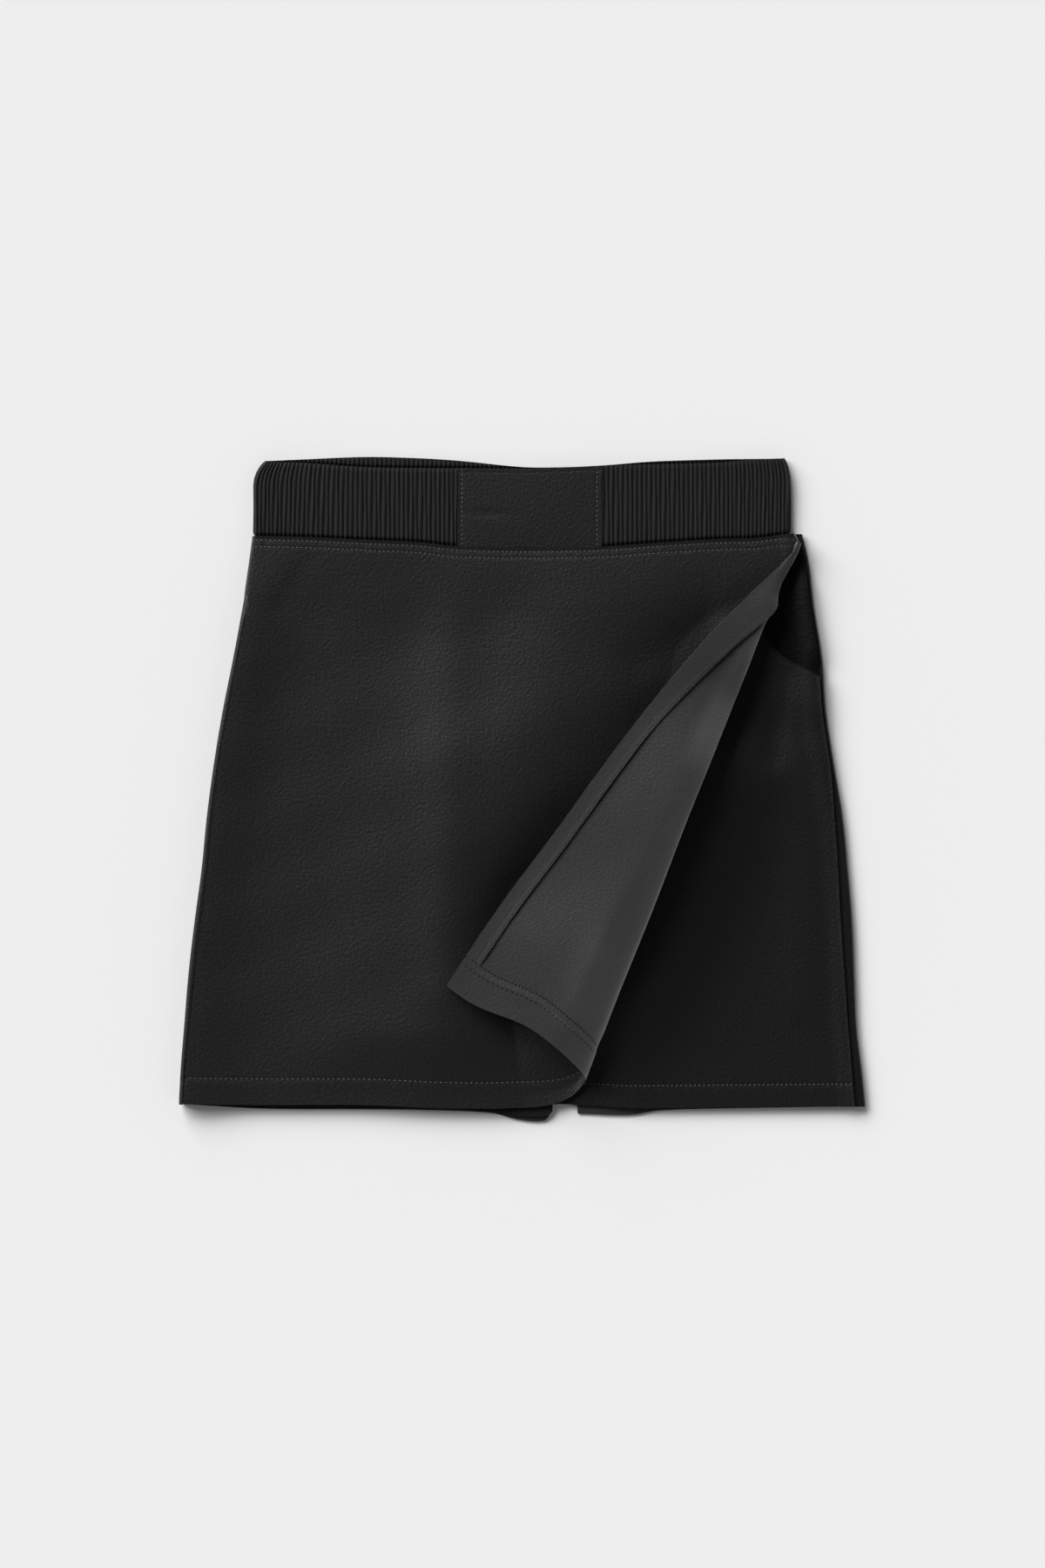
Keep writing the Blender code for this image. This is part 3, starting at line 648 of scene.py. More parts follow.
Pitch = namedtuple("Pitch", "share width")
LEFT_PITCH = [Pitch(0.0, 5.2), Pitch(0.35, 5.3), Pitch(0.6, 5.5), Pitch(0.85, 5.2), Pitch(1.0, 4.4)]
RIGHT_PITCH = [Pitch(0.0, 5.5), Pitch(0.4, 5.3), Pitch(0.7, 4.8), Pitch(1.0, 4.4)]


def rib_places(pitches, ribs):
    """Share of the front's width at each step of its ribs, which crowd towards the side fold."""
    share = np.linspace(0.0, 1.0, ribs * STEPS_A_RIB + 1)
    width = np.cumsum(read(pitches, "width", (share[1:] + share[:-1]) / 2.0))
    return np.concatenate([[0.0], width / width[-1]])


def band_middle(place, up):
    """Middle of the band: 0-1 left front, 1-2 left fold, 2-3 back, 3-4 right fold, 4-5 right front."""
    outer = BAND_SIDE + BAND_HOLLOW / 2.0
    reach = outer - BAND_SIDE / 2.0
    left, right = -WAIST_HALF + outer, WAIST_HALF - outer
    turn_left = np.clip(place - 1.0, 0.0, 1.0)
    turn_right = np.clip(place - 3.0, 0.0, 1.0)
    x = np.select(
        [place <= 1.0, place < 2.0, place <= 3.0, place < 4.0],
        [
            blend(TAB_LEFT - GAP, left, place),
            left - reach * np.sin(turn_left * math.pi),
            blend(left, right, place - 2.0),
            right + reach * np.sin(turn_right * math.pi),
        ],
        blend(right, TAB_RIGHT + GAP, place - 4.0),
    )
    level = np.where(place > 2.5, -np.cos(turn_right * math.pi), np.cos(turn_left * math.pi))
    front = np.where(place > 2.5, ease(turn_right), 1.0 - ease(turn_left))
    bottom = blend(read(WAISTS, "back_seam", x), read(WAISTS, "seam", x), front) + GAP / 2.0
    top = blend(read(WAISTS, "back_top", x), read(WAISTS, "front_top", x), front)
    corner = np.where(x < 0.0, LEFT_CORNER, RIGHT_CORNER) * np.sign(x) * (x / WAIST_HALF) ** 8
    corner = corner * np.clip((up - CORNER_FROM) / (1.0 - CORNER_FROM), 0.0, 1.0) ** 2.3
    lean = LEFT_LEAN * hump(x + 125.0, 22.0) * (1.0 - up) - RIGHT_LEAN * hump(x - 140.0, 14.0) * (up - 0.5)
    lean = lean * front
    sway = RIB_SWAY * np.sin(x * 0.9 + up * 5.0) * np.sin(up * math.pi)
    y = blend(bottom, top, up)
    return np.stack([x - corner - lean + sway, y, outer + reach * level + 0.0 * up], axis=2)


left_part = rib_places(LEFT_PITCH, LEFT_RIBS)
right_part = rib_places(RIGHT_PITCH, RIGHT_RIBS)
side_steps = np.arange(1, 2 * STEPS_A_RIB + 1) / STEPS_A_RIB
back_steps = np.arange(1, BACK_RIBS * STEPS_A_BACK_RIB + 1) / STEPS_A_BACK_RIB
band_place = np.concatenate([
    left_part,
    1.0 + side_steps / 2.0,
    2.0 + back_steps / BACK_RIBS,
    3.0 + side_steps / 2.0,
    5.0 - right_part[::-1][1:],
])
band_rib = np.concatenate([
    np.arange(len(left_part)) / STEPS_A_RIB,
    side_steps,
    back_steps,
    side_steps,
    np.arange(1, len(right_part)) / STEPS_A_RIB,
])
band_up = stations((0.0, 0.06, 0.01), (0.06, 0.84, 0.078), (0.84, 1.0, 0.01))[:, None][::-1]
band = band_middle(band_place[None, :], band_up)
ridge = RIB_HEIGHT * np.abs(np.cos(math.pi * band_rib))[None, :] ** RIB_ROUND
uneven = 1.0 + 0.18 * np.sin(band_rib * 2.3)[None, :] * np.sin(band_up * 4.0 + band_rib[None, :])
ridge = ridge * uneven * (1.0 - 0.35 * hump(band_up - 1.0, 0.03))
on_back = ((band_place > 2.0) & (band_place < 3.0))[None, :]
ridge = ridge * np.where((band_place > 1.0) & (band_place < 4.0), 0.75, 1.0)[None, :]
over_front = band[..., 1] - read(WAISTS, "front_top", band[..., 0])
tuck = 0.9 * hump(band_up * 44.0, 1.1) * (1.0 - on_back)
inner_tuck = 0.8 * hump(over_front - 0.2, 0.9) * on_back
band_out = facing_out(band, -1.0)
band_front = band + band_out * (BAND_WALL / 2.0 - VALLEY + ridge - tuck)[..., None]
band_back = band - band_out * (BAND_WALL / 2.0 - VALLEY_INSIDE + ridge * 0.7 - inner_tuck)[..., None]
band_cut = np.stack([grown(band), BAND_HEIGHT * band_up + 0.0 * band_place[None, :]], axis=2)


def knit_loops():
    """Fine columns of knitted loops, which run up the ribs."""
    group, entry, leave, across, along = pattern("knit loops", "Loop Width")
    column = sums(group, "DIVIDE", across, entry.outputs["Loop Width"])
    row = sums(group, "DIVIDE", along, entry.outputs["Loop Width"])
    side = sums(group, "ABSOLUTE", sums(group, "SUBTRACT", sums(group, "FRACT", column), 0.5))
    slant = weighted(group, (row, 1.3), (side, 1.6))
    loop = sums(group, "SINE", sums(group, "MULTIPLY", slant, math.tau))
    edge = sums(group, "MULTIPLY", sums(group, "SUBTRACT", 0.5, side), 1.2)
    fuzz = grain(group, entry, 900.0, 3.0)
    group.links.new(weighted(group, (loop, 0.3), (edge, 1.0), (fuzz, 0.5)), leave.inputs["Height"])
    group.links.new(weighted(group, (fuzz, 0.9), (edge, 0.5)), leave.inputs["Tone"])
    return group


rib_knit, tree, shader = new_material("black rib knit")
loops = on_cut(tree, knit_loops(), Loop_Width=0.0009)
finish(tree, shader, sums(tree, "MULTIPLY", loops.outputs["Tone"], 0.009), loops, 0.8, 0.00008)
set_inputs(shader, Roughness=0.68, Specular_IOR_Level=0.18, Sheen_Weight=0.04, Sheen_Roughness=0.5)

rib_band = sew_sheet("waist_rib_knit", band_front, band_back, band_cut, 0.0 * ridge, rib_knit, rib_knit)
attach(rib_band, "root")
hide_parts("waist_rib")

# ---- The tab of the waistband
# The middle of the band in front is plain twill, folded double over a stiff tape. A single row of
# stitches holds it at each side, and its top is pressed to an edge.

TAB_LEVEL = 2.2
TAB_WALL = 1.7
TAB_PRESSED = 0.1          # its faces lie this far inside the tape's thickness
TAB_CROWN = 0.35
TAB_ROWS = (("left", TAB_LEFT + 2.7), ("right", TAB_RIGHT - 2.9))
across = stations((0.0, 0.06, 0.006), (0.06, 0.94, 0.022), (0.94, 1.0, 0.006))[None, :]
up = stations((0.0, 0.08, 0.02), (0.08, 0.9, 0.03), (0.9, 1.0, 0.01))[::-1][:, None]
x = blend(TAB_LEFT, TAB_RIGHT, across) + 0.0 * up
y = blend(read(WAISTS, "seam", x) + GAP / 2.0, read(WAISTS, "front_top", x), up)
tab_middle = np.stack([x, y, TAB_LEVEL + TAB_WALL / 2.0 + 0.0 * x], axis=2)
from_top = read(WAISTS, "front_top", x) - y
relief = TAB_CROWN * np.sin(math.pi * across) * np.sin(math.pi * up) - 0.1 * hump(from_top - 2.3, 0.6)
relief -= 0.3 * hump(y - 157.0 + 0.06 * x, 2.5) * hump(x + 19.0, 12.0)     # a shallow crease
relief -= 0.08 * sum(hump(x - place, 0.8) for side, place in TAB_ROWS)
tab_out = facing_out(tab_middle)
tab_front = tab_middle + tab_out * (TAB_WALL / 2.0 - TAB_PRESSED + relief)[..., None]
tab_back = tab_middle - tab_out * (TAB_WALL / 2.0 - TAB_PRESSED)
right_side = twill("black twill", 0.0034, 0.33, 0.08)
tab = sew_sheet("waist_tab_twill", tab_front, tab_back, np.stack([x, y], axis=2),
                0.4 + 0.25 * hump(from_top, 1.2), right_side, right_side)
for side, place in TAB_ROWS:
    column = np.interp(place, x[0], np.arange(x.shape[1]))
    run = np.arange(len(up), dtype=float)
    sew_row(f"tab_{side}_stitches", tab_front, tab_out, run, column, 2.6)
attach(tab, "root")
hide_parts("waist_tab")

# ---- The fronts of the shorts and the pocket
# Both leg fronts are cut from the same twill. The right one is cut away in a curve for the pocket, and
# a facing of twill painted darker for shade fills the opening. Hems are turned in and sewn with one row.

LAYER = 1.0                # height that a layer of cloth takes up
FOLD_LIFT = 0.9            # extra fullness beside the right side fold,
FOLD_LIFT_REACH = 16.0     # this far in from it
FOLD_ACROSS = np.array([0.931, -0.365])    # square to the wrap's fold, away from the panel
FOLD_MIDDLE = np.array([94.25, -16.5])
FOLD_TOP = 146.0
FOLD_FOOT = -167.0
LEG_SWELL = 10.0           # the leg stands up where the wrap's roll lies on it
LEG_SWELL_WIDTH = 32.0
SWELL_TOP = 50.0           # and lies flat above here,
SWELL_FOOT = -178.0        # below here and at its side
LEG_RIDGE = 1.0
CLEARANCE_START = 4.0      # of the leg's ridges, from the fold
CLEARANCE_RUN = 24.0
POCKET_LEFT = 104.0        # the hidden pocket lifts the front from here to the side,
POCKET_BOTTOM = 28.0       # and above here
POCKET_OVERLAP = 5.0
POCKET_FOOT = 52.0
POCKET_STAND = 2.6         # the facing stands up in the pocket's mouth,
STAND_REACH = 10.5         # this far in from the side seam,
STAND_FOOT = 66.0          # between these heights
STAND_TOP = 134.0
Mouth = namedtuple("Mouth", "y x")
NO_MOUTH = 99.0            # a distance from the mouth for the cloth below it
MOUTHS = [
    Mouth(61.5, 171.8),
    Mouth(66.5, 162.8),
    Mouth(71.5, 152.8),
    Mouth(78.0, 145.3),
    Mouth(84.0, 140.8),
    Mouth(98.0, 136.6),
    Mouth(123.0, 134.8),
    Mouth(144.5, 134.3),
]
Crease = namedtuple("Crease", "x0 y0 x1 y1 width height")
LEG_CREASES = [
    Crease(147.0, 64.0, 143.0, 20.0, 9.0, -1.5),
    Crease(163.0, 20.0, 160.0, -120.0, 12.0, 0.5),
]
Fold = namedtuple("Fold", "part fold_x fold_y edge_x edge_y rise nose crown")
FOLDS = [
    Fold(0.000, 156.10, 146.2, 155.30, 146.3, 1.2, 0.5, 0.9),
    Fold(0.018, 158.50, 140.3, 157.70, 140.5, 1.8, 1.4, 1.8),
    Fold(0.06, 152.80, 127.5, 149.00, 129.5, 3.0, 2.6, 3.5),
    Fold(0.09, 147.60, 118.0, 142.40, 123.2, 4.0, 3.5, 4.6),
    Fold(0.12, 145.30, 109.0, 135.75, 117.0, 4.9, 4.3, 5.6),
    Fold(0.136, 145.00, 104.0, 132.10, 113.4, 6.1, 5.1, 6.5),
    Fold(0.146, 143.00, 101.0, 129.80, 111.1, 6.8, 5.6, 7.0),
    Fold(0.168, 138.80, 94.0, 124.90, 106.2, 8.3, 6.5, 8.1),
    Fold(0.24, 129.75, 71.0, 108.50, 90.0, 12.6, 9.2, 10.9),
    Fold(0.39, 110.75, 24.0, 76.25, 52.5, 16.7, 12.4, 13.3),
    Fold(0.52, 94.25, -16.5, 50.25, 19.0, 17.5, 13.0, 16.3),
    Fold(0.68, 75.00, -67.0, 19.50, -23.3, 16.0, 12.1, 18.0),
    Fold(0.85, 54.00, -120.0, -13.25, -67.5, 9.6, 7.6, 17.0),
    Fold(1.00, 36.75, -167.0, -43.25, -112.0, 2.7, 3.0, 15.6),
]


def creased(creases, x, y):
    """Height of soft ridges and troughs, each along a line with a width and a height."""
    height = 0.0 * (x + y)
    for crease in creases:
        run_x, run_y = crease.x1 - crease.x0, crease.y1 - crease.y0
        length = math.hypot(run_x, run_y)
        along = ((x - crease.x0) * run_x + (y - crease.y0) * run_y) / length
        aside = ((x - crease.x0) * run_y - (y - crease.y0) * run_x) / length
        beyond = np.maximum(np.maximum(-along, along - length), 0.0)
        height = height + crease.height * np.exp(-(aside ** 2 + beyond ** 2) / crease.width ** 2)
    return height


def pucker(along):
    """Uneven small ripples along a sewn row."""
    waves = ((0.5, 1.21, 0.0), (0.3, 0.79, 1.0), (0.2, 0.37, 2.0))
    return sum(height * np.sin(along * turns + start) for height, turns, start in waves)


def pocket_lift(x, y):
    return ease((x - POCKET_LEFT) / 16.0) * ease((y - POCKET_BOTTOM) / 25.0)


def fold_lift(x, y):
    return FOLD_LIFT * ease((x - read(SIDES, "right_fold", y) + FOLD_LIFT_REACH) / 10.0)


def leg_swell(x, y):
    """Fullness of the right leg along the wrap's fold; none at its waist, hem and side."""
    beside = (x - FOLD_MIDDLE[0]) * FOLD_ACROSS[0] + (y - FOLD_MIDDLE[1]) * FOLD_ACROSS[1]
    ends = ease((SWELL_TOP - y) / 60.0) * ease((y - SWELL_FOOT) / 72.0)
    side = ease((read(SIDES, "right_fold", y) - x) / 30.0)
    return LEG_SWELL * hump(beside, LEG_SWELL_WIDTH) * ends * side


def front_level(x, y):
    """Underside of the leg fronts' layer."""
    lift = 1.0 - (1.0 - seam_lift(x, y)) * (1.0 - pocket_lift(x, y))
    return LAYER + GAP + LAYER_LIFT * lift + fold_lift(x, y) + leg_swell(x, y)


def clear_of_wrap(x, y):
    """1 on the part of the right leg that the wrap panel leaves free, 0 under the panel."""
    part = (FOLD_TOP - y) / (FOLD_TOP - FOLD_FOOT)
    return ease((x - read(FOLDS, "fold_x", part) - CLEARANCE_START) / CLEARANCE_RUN)


def leg_middle(inner, outer, across, down):
    level = blend(SEAM_Y, HEM_Y, down)
    x = blend(inner(level), outer(level), across)
    y = blend(read(WAISTS, "seam", x) - GAP / 2.0, read(HEMS, "front", x), down)
    ridge = np.maximum(-leg_swell(x, y), creased(LEG_CREASES, x, y) + LEG_RIDGE) * clear_of_wrap(x, y)
    return np.stack([x, y, front_level(x, y) + ridge + LAYER / 2.0], axis=2)


def right_edge(y):
    """Outer edge of the right front: the pocket mouth above, the side seam below."""
    return np.where(y >= MOUTHS[0].y, read(MOUTHS, "x", y), right_seam(y) - GAP)


leg_hem = 1.0 - HEM_DEPTH / CLOTH_LENGTH
leg_down = stations((0.0, 0.2, 0.01), (0.2, 0.27, 0.0025), (0.27, leg_hem - 0.008, 0.008),
                    (leg_hem - 0.008, leg_hem + 0.008, 0.002), (leg_hem + 0.008, 1.0, 0.005))[:, None]


def make_leg(side, inner, outer, way):
    across = stations((0.0, 0.02, 0.005), (0.02, 0.96, 0.0125), (0.96, 1.0, 0.004))[None, :]
    middle = leg_middle(inner, outer, across, leg_down)
    x, y = middle[..., 0], middle[..., 1]
    above_hem = (1.0 - leg_down) * CLOTH_LENGTH + 0.0 * across
    dent = ROW_DENT * (ease((HEM_DEPTH - above_hem) / 3.0) - hump(above_hem - HEM_DEPTH, 0.9))
    dent = dent + 0.16 * pucker(x) * hump(above_hem - HEM_DEPTH, 5.0)
    # Lighter along the hem's edge and the pocket's mouth: painted highlight along these edges, with a
    # little less roughness.
    painted_sheen_and_wear = 0.3 * hump(above_hem, 1.0)
    if side == "right":
        width = outer(blend(SEAM_Y, HEM_Y, leg_down)) - inner(0.0)
        mouth = np.where(y > MOUTHS[0].y, (1.0 - across) * width, NO_MOUTH)
        dent = dent + 0.25 * hump(mouth, 1.2) - 0.15 * hump(mouth - 2.6, 0.8)
        dent = dent + 0.3 * hump((1.0 - across) * (outer(y) - inner(y)), 1.0) * (y < MOUTHS[0].y)
        painted_sheen_and_wear = painted_sheen_and_wear + 0.35 * hump(mouth, 1.0)
    front, back = wall_faces(middle, way, front=dent)
    cloth = sew_sheet(f"front_{side}_twill", front, back, middle[..., :2], painted_sheen_and_wear, shorts_twill_painted_darker, wrong_side)
    row = np.interp(leg_hem, leg_down[:, 0], np.arange(len(leg_down)))
    columns = np.arange(across.shape[1], dtype=float)
    stitches = sew_row(f"front_{side}_hem_stitches", front, facing_out(middle, way), row, columns, 2.61)
    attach(cloth, "root")
    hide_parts(f"shorts_front_{side}")
    return cloth


front_left = make_leg("left", lambda y: read(CENTRES, "left_leg", y) - GAP / 2.0,
                      lambda y: left_seam(y) + GAP, -1.0)
front_right = make_leg("right", lambda y: read(CENTRES, "right_front", y) + GAP / 2.0, right_edge, 1.0)

facing_down = leg_down[leg_down[:, 0] <= (SEAM_Y - POCKET_FOOT) / CLOTH_LENGTH]
across = stations((0.0, 1.0, 0.04))[None, :]
level = blend(SEAM_Y, HEM_Y, facing_down)
hidden = read(MOUTHS, "x", level + MOUTHS[0].y - POCKET_FOOT) - POCKET_OVERLAP
x = blend(hidden, right_seam(level) - GAP, across)
y = blend(read(WAISTS, "seam", x) - GAP / 2.0, read(HEMS, "front", x), facing_down)
stand = ease((x - right_seam(level) + STAND_REACH) / 9.5)
stand = stand * ease((y - STAND_FOOT) / 16.0) * ease((STAND_TOP - y) / 22.0)
height = LAYER + GAP + fold_lift(x, y) + POCKET_STAND * stand + LAYER / 2.0
middle = np.stack([x, y, height], axis=2)
front, back = wall_faces(middle, front=0.0 * x)
# The pocket's twill is a darker, duller copy: painted shade, for the pocket's mouth lying in the roll's
# shadow.
shaded_pocket_twill = twill("pocket twill painted dark", 0.0016, 0.10, 0.02)
pocket_facing = sew_sheet("pocket_facing_twill", front, back, middle[..., :2], 0.0 * x,
                          shaded_pocket_twill, shaded_pocket_twill)
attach(pocket_facing, "root")
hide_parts("pocket_facing_right")

# ---- The wrap panel
# The skirt front is one panel of twill, sewn in with the left side seam and over the band. Its free
# right edge is folded back in a soft roll, so its inside shows, with the turned-up hem.

FOLD_ALONG = np.array([0.365, 0.931])      # up the fold
LEAST_RIDGE = 0.9
ROLL_UNDER = 36.6          # the panel leaves the leg this far inside the fold, at the hem
ROLL_UNDER_LEAST = 2.6
ROLL_OVER = 25.0           # from the fold to the roll's crown, at the hem
ROLL_OVER_LEAST = 0.5
ROLL_DRIFT = 13.0          # the crown lies this far up along the fold
FLAP_WAVE = 1.9            # the flap's hem bends out and in by this much
HEM_TURN = 0.942           # the hem's turned edge lies this far down the panel
WRAP_CREASES = [
    Crease(52.0, 100.0, -10.0, 26.0, 48.0, 3.1),
    Crease(-8.0, -5.0, -40.0, -140.0, 70.0, 5.4),
    Crease(-41.0, 92.0, -44.0, -110.0, 16.0, 1.0),
    Crease(148.0, 108.0, 70.0, 74.0, 14.0, -1.3),
    Crease(116.0, 62.0, 16.0, -62.0, 26.0, -4.8),
    Crease(14.0, -84.0, 28.0, -165.0, 36.0, -9.0),
    Crease(-122.0, 131.0, -140.0, 103.0, 7.0, -0.25),
]
HEM_FADE = 46.0            # the creases die out towards the hem,
HEM_SHARE = 0.2            # to this share of their height
SIDE_RISE_WIDTH = 25.0     # of the cloth that stands up towards the left side
CURL_WIDTH = 1.6           # the panel bends down over the left fold at its shoulder
CURL_DROP = 2.6


def wrap_level(x, y):
    """Underside of the flat part of the panel."""
    full = blend(HEM_SHARE, 1.0, ease((y - HEM_Y) / HEM_FADE))
    ridge = np.maximum(GAP, creased(WRAP_CREASES, x, y) * full + LEAST_RIDGE)
    side = SIDE_RISE * hump(x - read(SIDES, "left_fold", y), SIDE_RISE_WIDTH) * (1.0 - seam_lift(x, y))
    return front_level(x, y) + LAYER + GAP + ridge + side


def wrap_row(x, part):
    return blend(read(WAISTS, "seam", x) - GAP / 2.0, read(HEMS, "wrap", x), part)


def bend_through(start, middle, end, share):
    """A point on the curve that starts towards the middle point and ends coming from it."""
    share = share[..., None]
    return start * (1.0 - share) ** 2 + middle * 2.0 * share * (1.0 - share) + end * share ** 2


def pair(first, second):
    return np.stack([first, second], axis=-1)


def with_height(plan, height):
    return np.concatenate([plan, height[..., None]], axis=-1)


def wrap_middle(across, part):
    """Middle of the panel: 0-1 flat, 1-2 under the roll's silhouette, 2-3 over it, 3-4 the flap."""
    wall_beyond = WALL / 2.0 + WALL * ease((part - HEM_TURN + 0.04) / 0.04)
    silhouette = pair(read(FOLDS, "fold_x", part), read(FOLDS, "fold_y", part))
    silhouette = silhouette - FOLD_ACROSS * wall_beyond[..., None]
    edge = pair(read(FOLDS, "edge_x", part), read(FOLDS, "edge_y", part))
    lift_x = silhouette[..., 0] - ROLL_UNDER_LEAST - (ROLL_UNDER - ROLL_UNDER_LEAST) * part
    lift_off = pair(lift_x, wrap_row(lift_x, part))
    run = np.maximum((silhouette - lift_off)[..., 1] / FOLD_ALONG[1], 0.0)[..., None]
    under = silhouette - FOLD_ALONG * run
    over = blend(ROLL_OVER_LEAST, ROLL_OVER, part)[..., None]
    drift = FOLD_ALONG * ROLL_DRIFT * part[..., None]
    crown = silhouette - FOLD_ACROSS * over + drift
    above = silhouette + drift * 0.35
    floor = wrap_level(lift_off[..., 0], lift_off[..., 1]) + LAYER / 2.0
    nose = floor + read(FOLDS, "nose", part)
    top = floor + read(FOLDS, "crown", part)
    end = wrap_level(edge[..., 0], edge[..., 1]) + LAYER / 2.0 + read(FOLDS, "rise", part)

    nominal = blend(SEAM_Y, HEM_Y, part)
    left = blend(left_seam(nominal) + GAP, read(SIDES, "left_fold", nominal) + 0.5, shoulder(nominal))
    flat_x = blend(left, lift_x, np.minimum(across, 1.0))
    flat_y = wrap_row(flat_x, part)
    curl = np.clip(1.0 - (flat_x - left) / CURL_WIDTH, 0.0, 1.0) * shoulder(nominal)
    flat_z = wrap_level(flat_x, flat_y) + LAYER / 2.0 - CURL_DROP * (1.0 - np.sqrt(1.0 - 0.98 * curl ** 2))
    flat = with_height(pair(flat_x, flat_y), flat_z)

    share = np.clip(across - 1.0, 0.0, 1.0)
    plan = bend_through(lift_off, under, silhouette, share)
    gone = share ** 2.2
    swell = leg_swell(plan[..., 0], plan[..., 1]) - leg_swell(lift_off[..., 0], lift_off[..., 1])
    height = floor + (nose - floor) * (1.0 - np.sqrt(np.maximum(1.0 - gone * gone, 0.0)))
    least = front_level(plan[..., 0], plan[..., 1]) + LAYER + GAP + LAYER / 2.0
    height = np.maximum(height + np.maximum(swell, 0.0) * (1.0 - share), least)
    below = with_height(plan, height)

    share = np.clip(across - 2.0, 0.0, 1.0)
    plan = bend_through(silhouette, above, crown, share)
    left_over = 1.0 - share * share
    height = nose + (top - nose) * np.sqrt(np.maximum(1.0 - left_over * left_over, 0.0))
    over_it = with_height(plan, height)

    share = np.clip(across - 3.0, 0.0, 1.0)
    chord = edge - crown
    aside = pair(chord[..., 1], -chord[..., 0]) / np.linalg.norm(chord, axis=-1, keepdims=True)
    bow = FLAP_WAVE * part * np.sin(math.tau * share)
    plan = crown + chord * share[..., None] + aside * bow[..., None]
    flap = with_height(plan, blend(top, end, 0.35 * share + 0.65 * ease(share)))

    region = across[..., None]
    over_or_flap = np.where(region <= 3.0, over_it, flap)
    return np.where(region <= 1.0, flat, np.where(region <= 2.0, below, over_or_flap))


UPPER_ROW = 2.3
LOWER_ROW = 6.1
HEM_ROW = 15.0             # from the wrap's hem up to its row of stitches
wrap_hem = 1.0 - HEM_ROW / CLOTH_LENGTH
wrap_across = stations((0.0, 0.03, 0.004), (0.03, 0.97, 0.0072), (0.97, 1.0, 0.006),
                       (1.0, 3.0, 0.0625), (3.0, 3.94, 0.03), (3.94, 4.0, 0.015))
wrap_part = stations((0.0, 0.026, 0.00155), (0.026, 0.04, 0.0035), (0.04, HEM_TURN - 0.004, 0.0066),
                     (HEM_TURN - 0.004, HEM_TURN + 0.004, 0.001),
                     (HEM_TURN + 0.004, wrap_hem - 0.006, 0.003),
                     (wrap_hem - 0.006, wrap_hem + 0.006, 0.0015), (wrap_hem + 0.006, 1.0, 0.0035))
across, part = np.meshgrid(wrap_across, wrap_part)
wrap_grid = wrap_middle(across, part)
x, y = wrap_grid[..., 0], wrap_grid[..., 1]
below_seam = part * CLOTH_LENGTH
above_hem = (1.0 - part) * CLOTH_LENGTH
on_flap = ease((across - 2.6) / 0.4)
ripple = 0.14 * np.sin(x * 0.11 + y * 0.05) * np.sin(y * 0.083 - 1.0) + 0.1 * np.sin(x * 0.05 - y * 0.13)
dent = hump(below_seam - UPPER_ROW, 0.7) + hump(below_seam - LOWER_ROW, 0.7)
dent += hump(above_hem - HEM_ROW, 0.9) - ease((HEM_ROW - above_hem) / 3.0)
wrap_relief = ripple - ROW_DENT * dent
wrap_relief += 0.25 * hump(below_seam, 0.9)
wrap_relief += pucker(x) * (0.12 * hump(below_seam - 4.0, 6.0) + 0.05 * hump(above_hem - 12.0, 7.0))
doubled = 0.35 * ease((across - 1.3) / 0.6) * ease((part - HEM_TURN + 0.003) / 0.012)
ledge = 0.3 * ease((HEM_ROW + 2.4 - above_hem) / 2.0) * ease((above_hem - HEM_ROW + 0.4) / 0.5)
turn_dent = ROW_DENT * hump((part - HEM_TURN) * CLOTH_LENGTH, 0.8)
wrong_relief = doubled + (ledge - turn_dent) * on_flap
wrap_front, wrap_back = wall_faces(wrap_grid, front=wrap_relief * (1.0 - on_flap),
                                   back=wrong_relief - ripple * on_flap)
wrap_cut = np.stack([wrap_grid[:, :1, 0] + grown(wrap_grid), blend(SEAM_Y, HEM_Y, part)], axis=2)
# Lighter at the waist lip, at the hem's edge and over the roll round the fold: painted highlight and, on
# the inside, painted sheen, with a little less roughness.
painted_sheen_and_wear = 0.55 * hump(below_seam - 0.2, 0.9) + 0.25 * hump(above_hem, 1.0)
painted_sheen_on_roll = ease((part - 0.1) / 0.12) * blend(1.0, 0.75, ease((part - 0.9) / 0.1))
painted_sheen_and_wear += ease((across - 1.6) / 0.4) * ease((3.35 - across) / 0.35) * painted_sheen_on_roll
wrap = sew_sheet("wrap_twill", wrap_front, wrap_back, wrap_cut, painted_sheen_and_wear, right_side, wrong_side)

wrap_out = facing_out(wrap_grid)
# The flap's hem rows use a darker, duller copy of the black thread: painted shade for the dark line along
# its turned hem.
thread_painted_dark = thread("black thread painted dark", 0.001, 0.004, 0.1)


def row_at(place):
    return np.interp(place, wrap_part, np.arange(len(wrap_part)))


def column_at(place):
    return np.interp(place, wrap_across, np.arange(len(wrap_across)))


def across_wrap(name, down, first, last, pitch, face, way, **thread):
    """A row of stitches across the panel between two stations, down it by a share of its length."""
    along = np.arange(column_at(first), column_at(last), 0.5)
    return sew_row(name, face, wrap_out * way, row_at(down), along, pitch, **thread)


wrap_rows = [
    across_wrap("waist_upper_stitches", UPPER_ROW / CLOTH_LENGTH, 0.005, 0.985, 2.6, wrap_front, 1.0),
    across_wrap("waist_lower_stitches", LOWER_ROW / CLOTH_LENGTH, 0.005, 0.985, 2.6, wrap_front, 1.0),
    across_wrap("wrap_hem_stitches", wrap_hem, 0.01, 1.9, 2.93, wrap_front, 1.0, thick=0.45),
    across_wrap("flap_hem_stitches", wrap_hem + 0.002, 2.2, 3.98, 2.93, wrap_back, -1.0, twine=thread_painted_dark),
    across_wrap("flap_hem_edge_stitches", HEM_TURN, 2.2, 3.98, 2.1, wrap_back, -1.0, thick=0.8,
                twine=thread_painted_dark),
]
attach(wrap, "root")
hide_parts("wrap_panel")

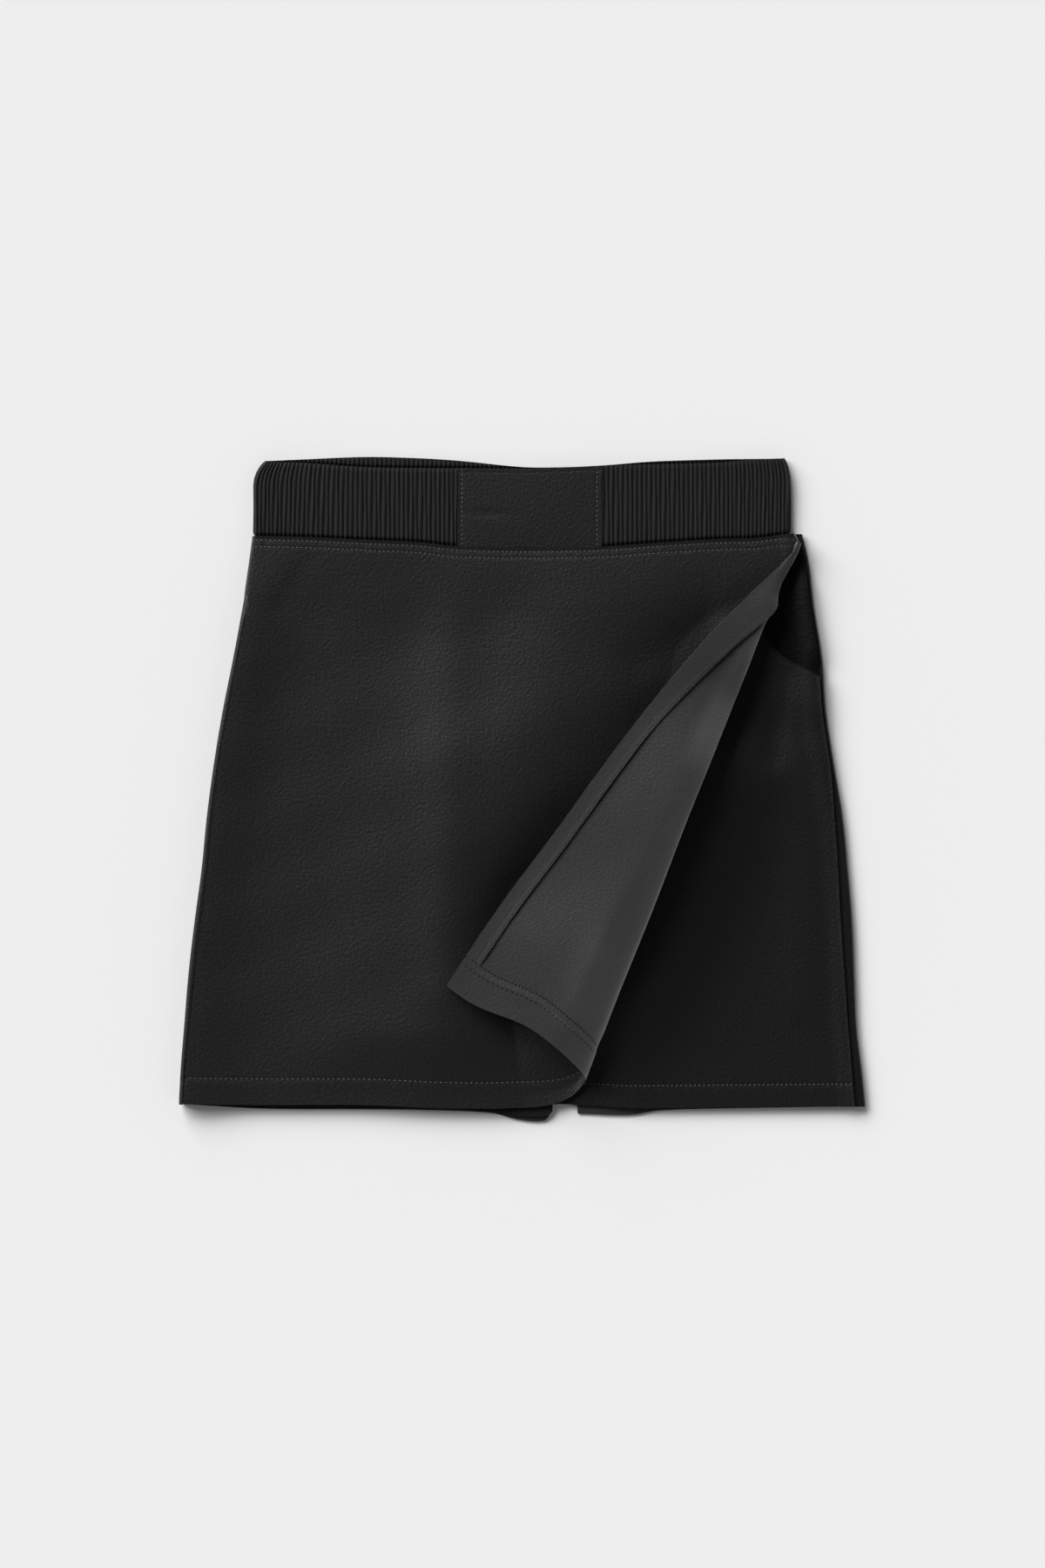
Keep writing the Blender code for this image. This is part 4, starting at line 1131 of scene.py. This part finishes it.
# ---- The facing of the wrap panel
# A narrow strip of the same twill is sewn along the panel's free edge and turned to its inside. Its
# inner edge is overlocked: loops of thread wrap it from end to end.

FACING_WIDE = 17.0         # at the waist
FACING_NARROW = 9.8        # towards the hem
FACING_CLEAR = 0.25        # over the panel's wall,
FACING_TUCK = 0.55         # and pressed down under the turned hem at its end
OVERLOCK_PITCH = 1.3
OVERLOCK_REACH = 2.9
on_facing = (wrap_part > 0.016) & (wrap_part < HEM_TURN + 0.0005)
facing_part = wrap_part[on_facing]
facing_across = stations((0.0, 0.2, 0.025), (0.2, 1.0, 0.08))
share, part = np.meshgrid(facing_across, facing_part)
wrap_run = grown(wrap_grid)[on_facing]
to_fold = wrap_run[:, -1:] - wrap_run[:, [int(np.searchsorted(wrap_across, 2.05))]]
width = np.minimum(blend(FACING_WIDE, FACING_NARROW, ease((part - 0.12) / 0.36)), to_fold)
run = wrap_run[:, -1:] - width * (1.0 - share)
station = np.stack([np.interp(*row, wrap_across) for row in zip(run, wrap_run)])
inside = on_sheet(wrap_out, row_at(part.ravel()), column_at(station.ravel())).reshape(*part.shape, 3)
tucked = FACING_TUCK * ease((part - HEM_TURN + 0.02) / 0.018)
facing_middle = wrap_middle(station, part) - inside * (WALL + FACING_CLEAR - tucked)[..., None]
relief = 0.12 * hump(share * width, 1.6) + 0.1 * pucker(part * CLOTH_LENGTH) * hump(share, 0.5)
facing_inner, facing_outer = wall_faces(facing_middle, front=0.0 * share, back=relief)
facing_cut = np.stack([share * width, part * CLOTH_LENGTH], axis=2)
# The facing is lighter towards the roll: painted highlight and painted sheen.
facing_painted_sheen = ease((3.2 - station) / 0.6) * ease((part - 0.1) / 0.12)
wrap_facing = sew_sheet("wrap_facing_twill", facing_outer, facing_inner, facing_cut, facing_painted_sheen,
                        wrong_side, wrong_side)

thread_soft = thread("soft black thread", 0.012, 0.06, 0.3)
gone = grown(facing_outer[:, :1].swapaxes(0, 1))[0]
edge_rows = np.arange(len(gone))
teeth = np.arange(0.5, int(gone[-1] / OVERLOCK_PITCH) - 1) * OVERLOCK_PITCH
row = np.interp(teeth, gone, edge_rows)
row_next = np.interp(teeth + OVERLOCK_PITCH * 0.55, gone, edge_rows)
reach = OVERLOCK_REACH / np.interp(row, edge_rows, width[:, 0])
reach = np.interp(reach, facing_across, np.arange(len(facing_across)))
outs = -on_sheet(facing_out(facing_middle), row, 0.0 * row)
overlock = sew_stitches("facing_overlock", on_sheet(facing_outer, row, 0.0 * row),
                        on_sheet(facing_outer, row_next, reach), outs, thick=0.42, proud=0.06,
                        twine=thread_soft)
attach(wrap_facing, "root")
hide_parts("wrap_facing")
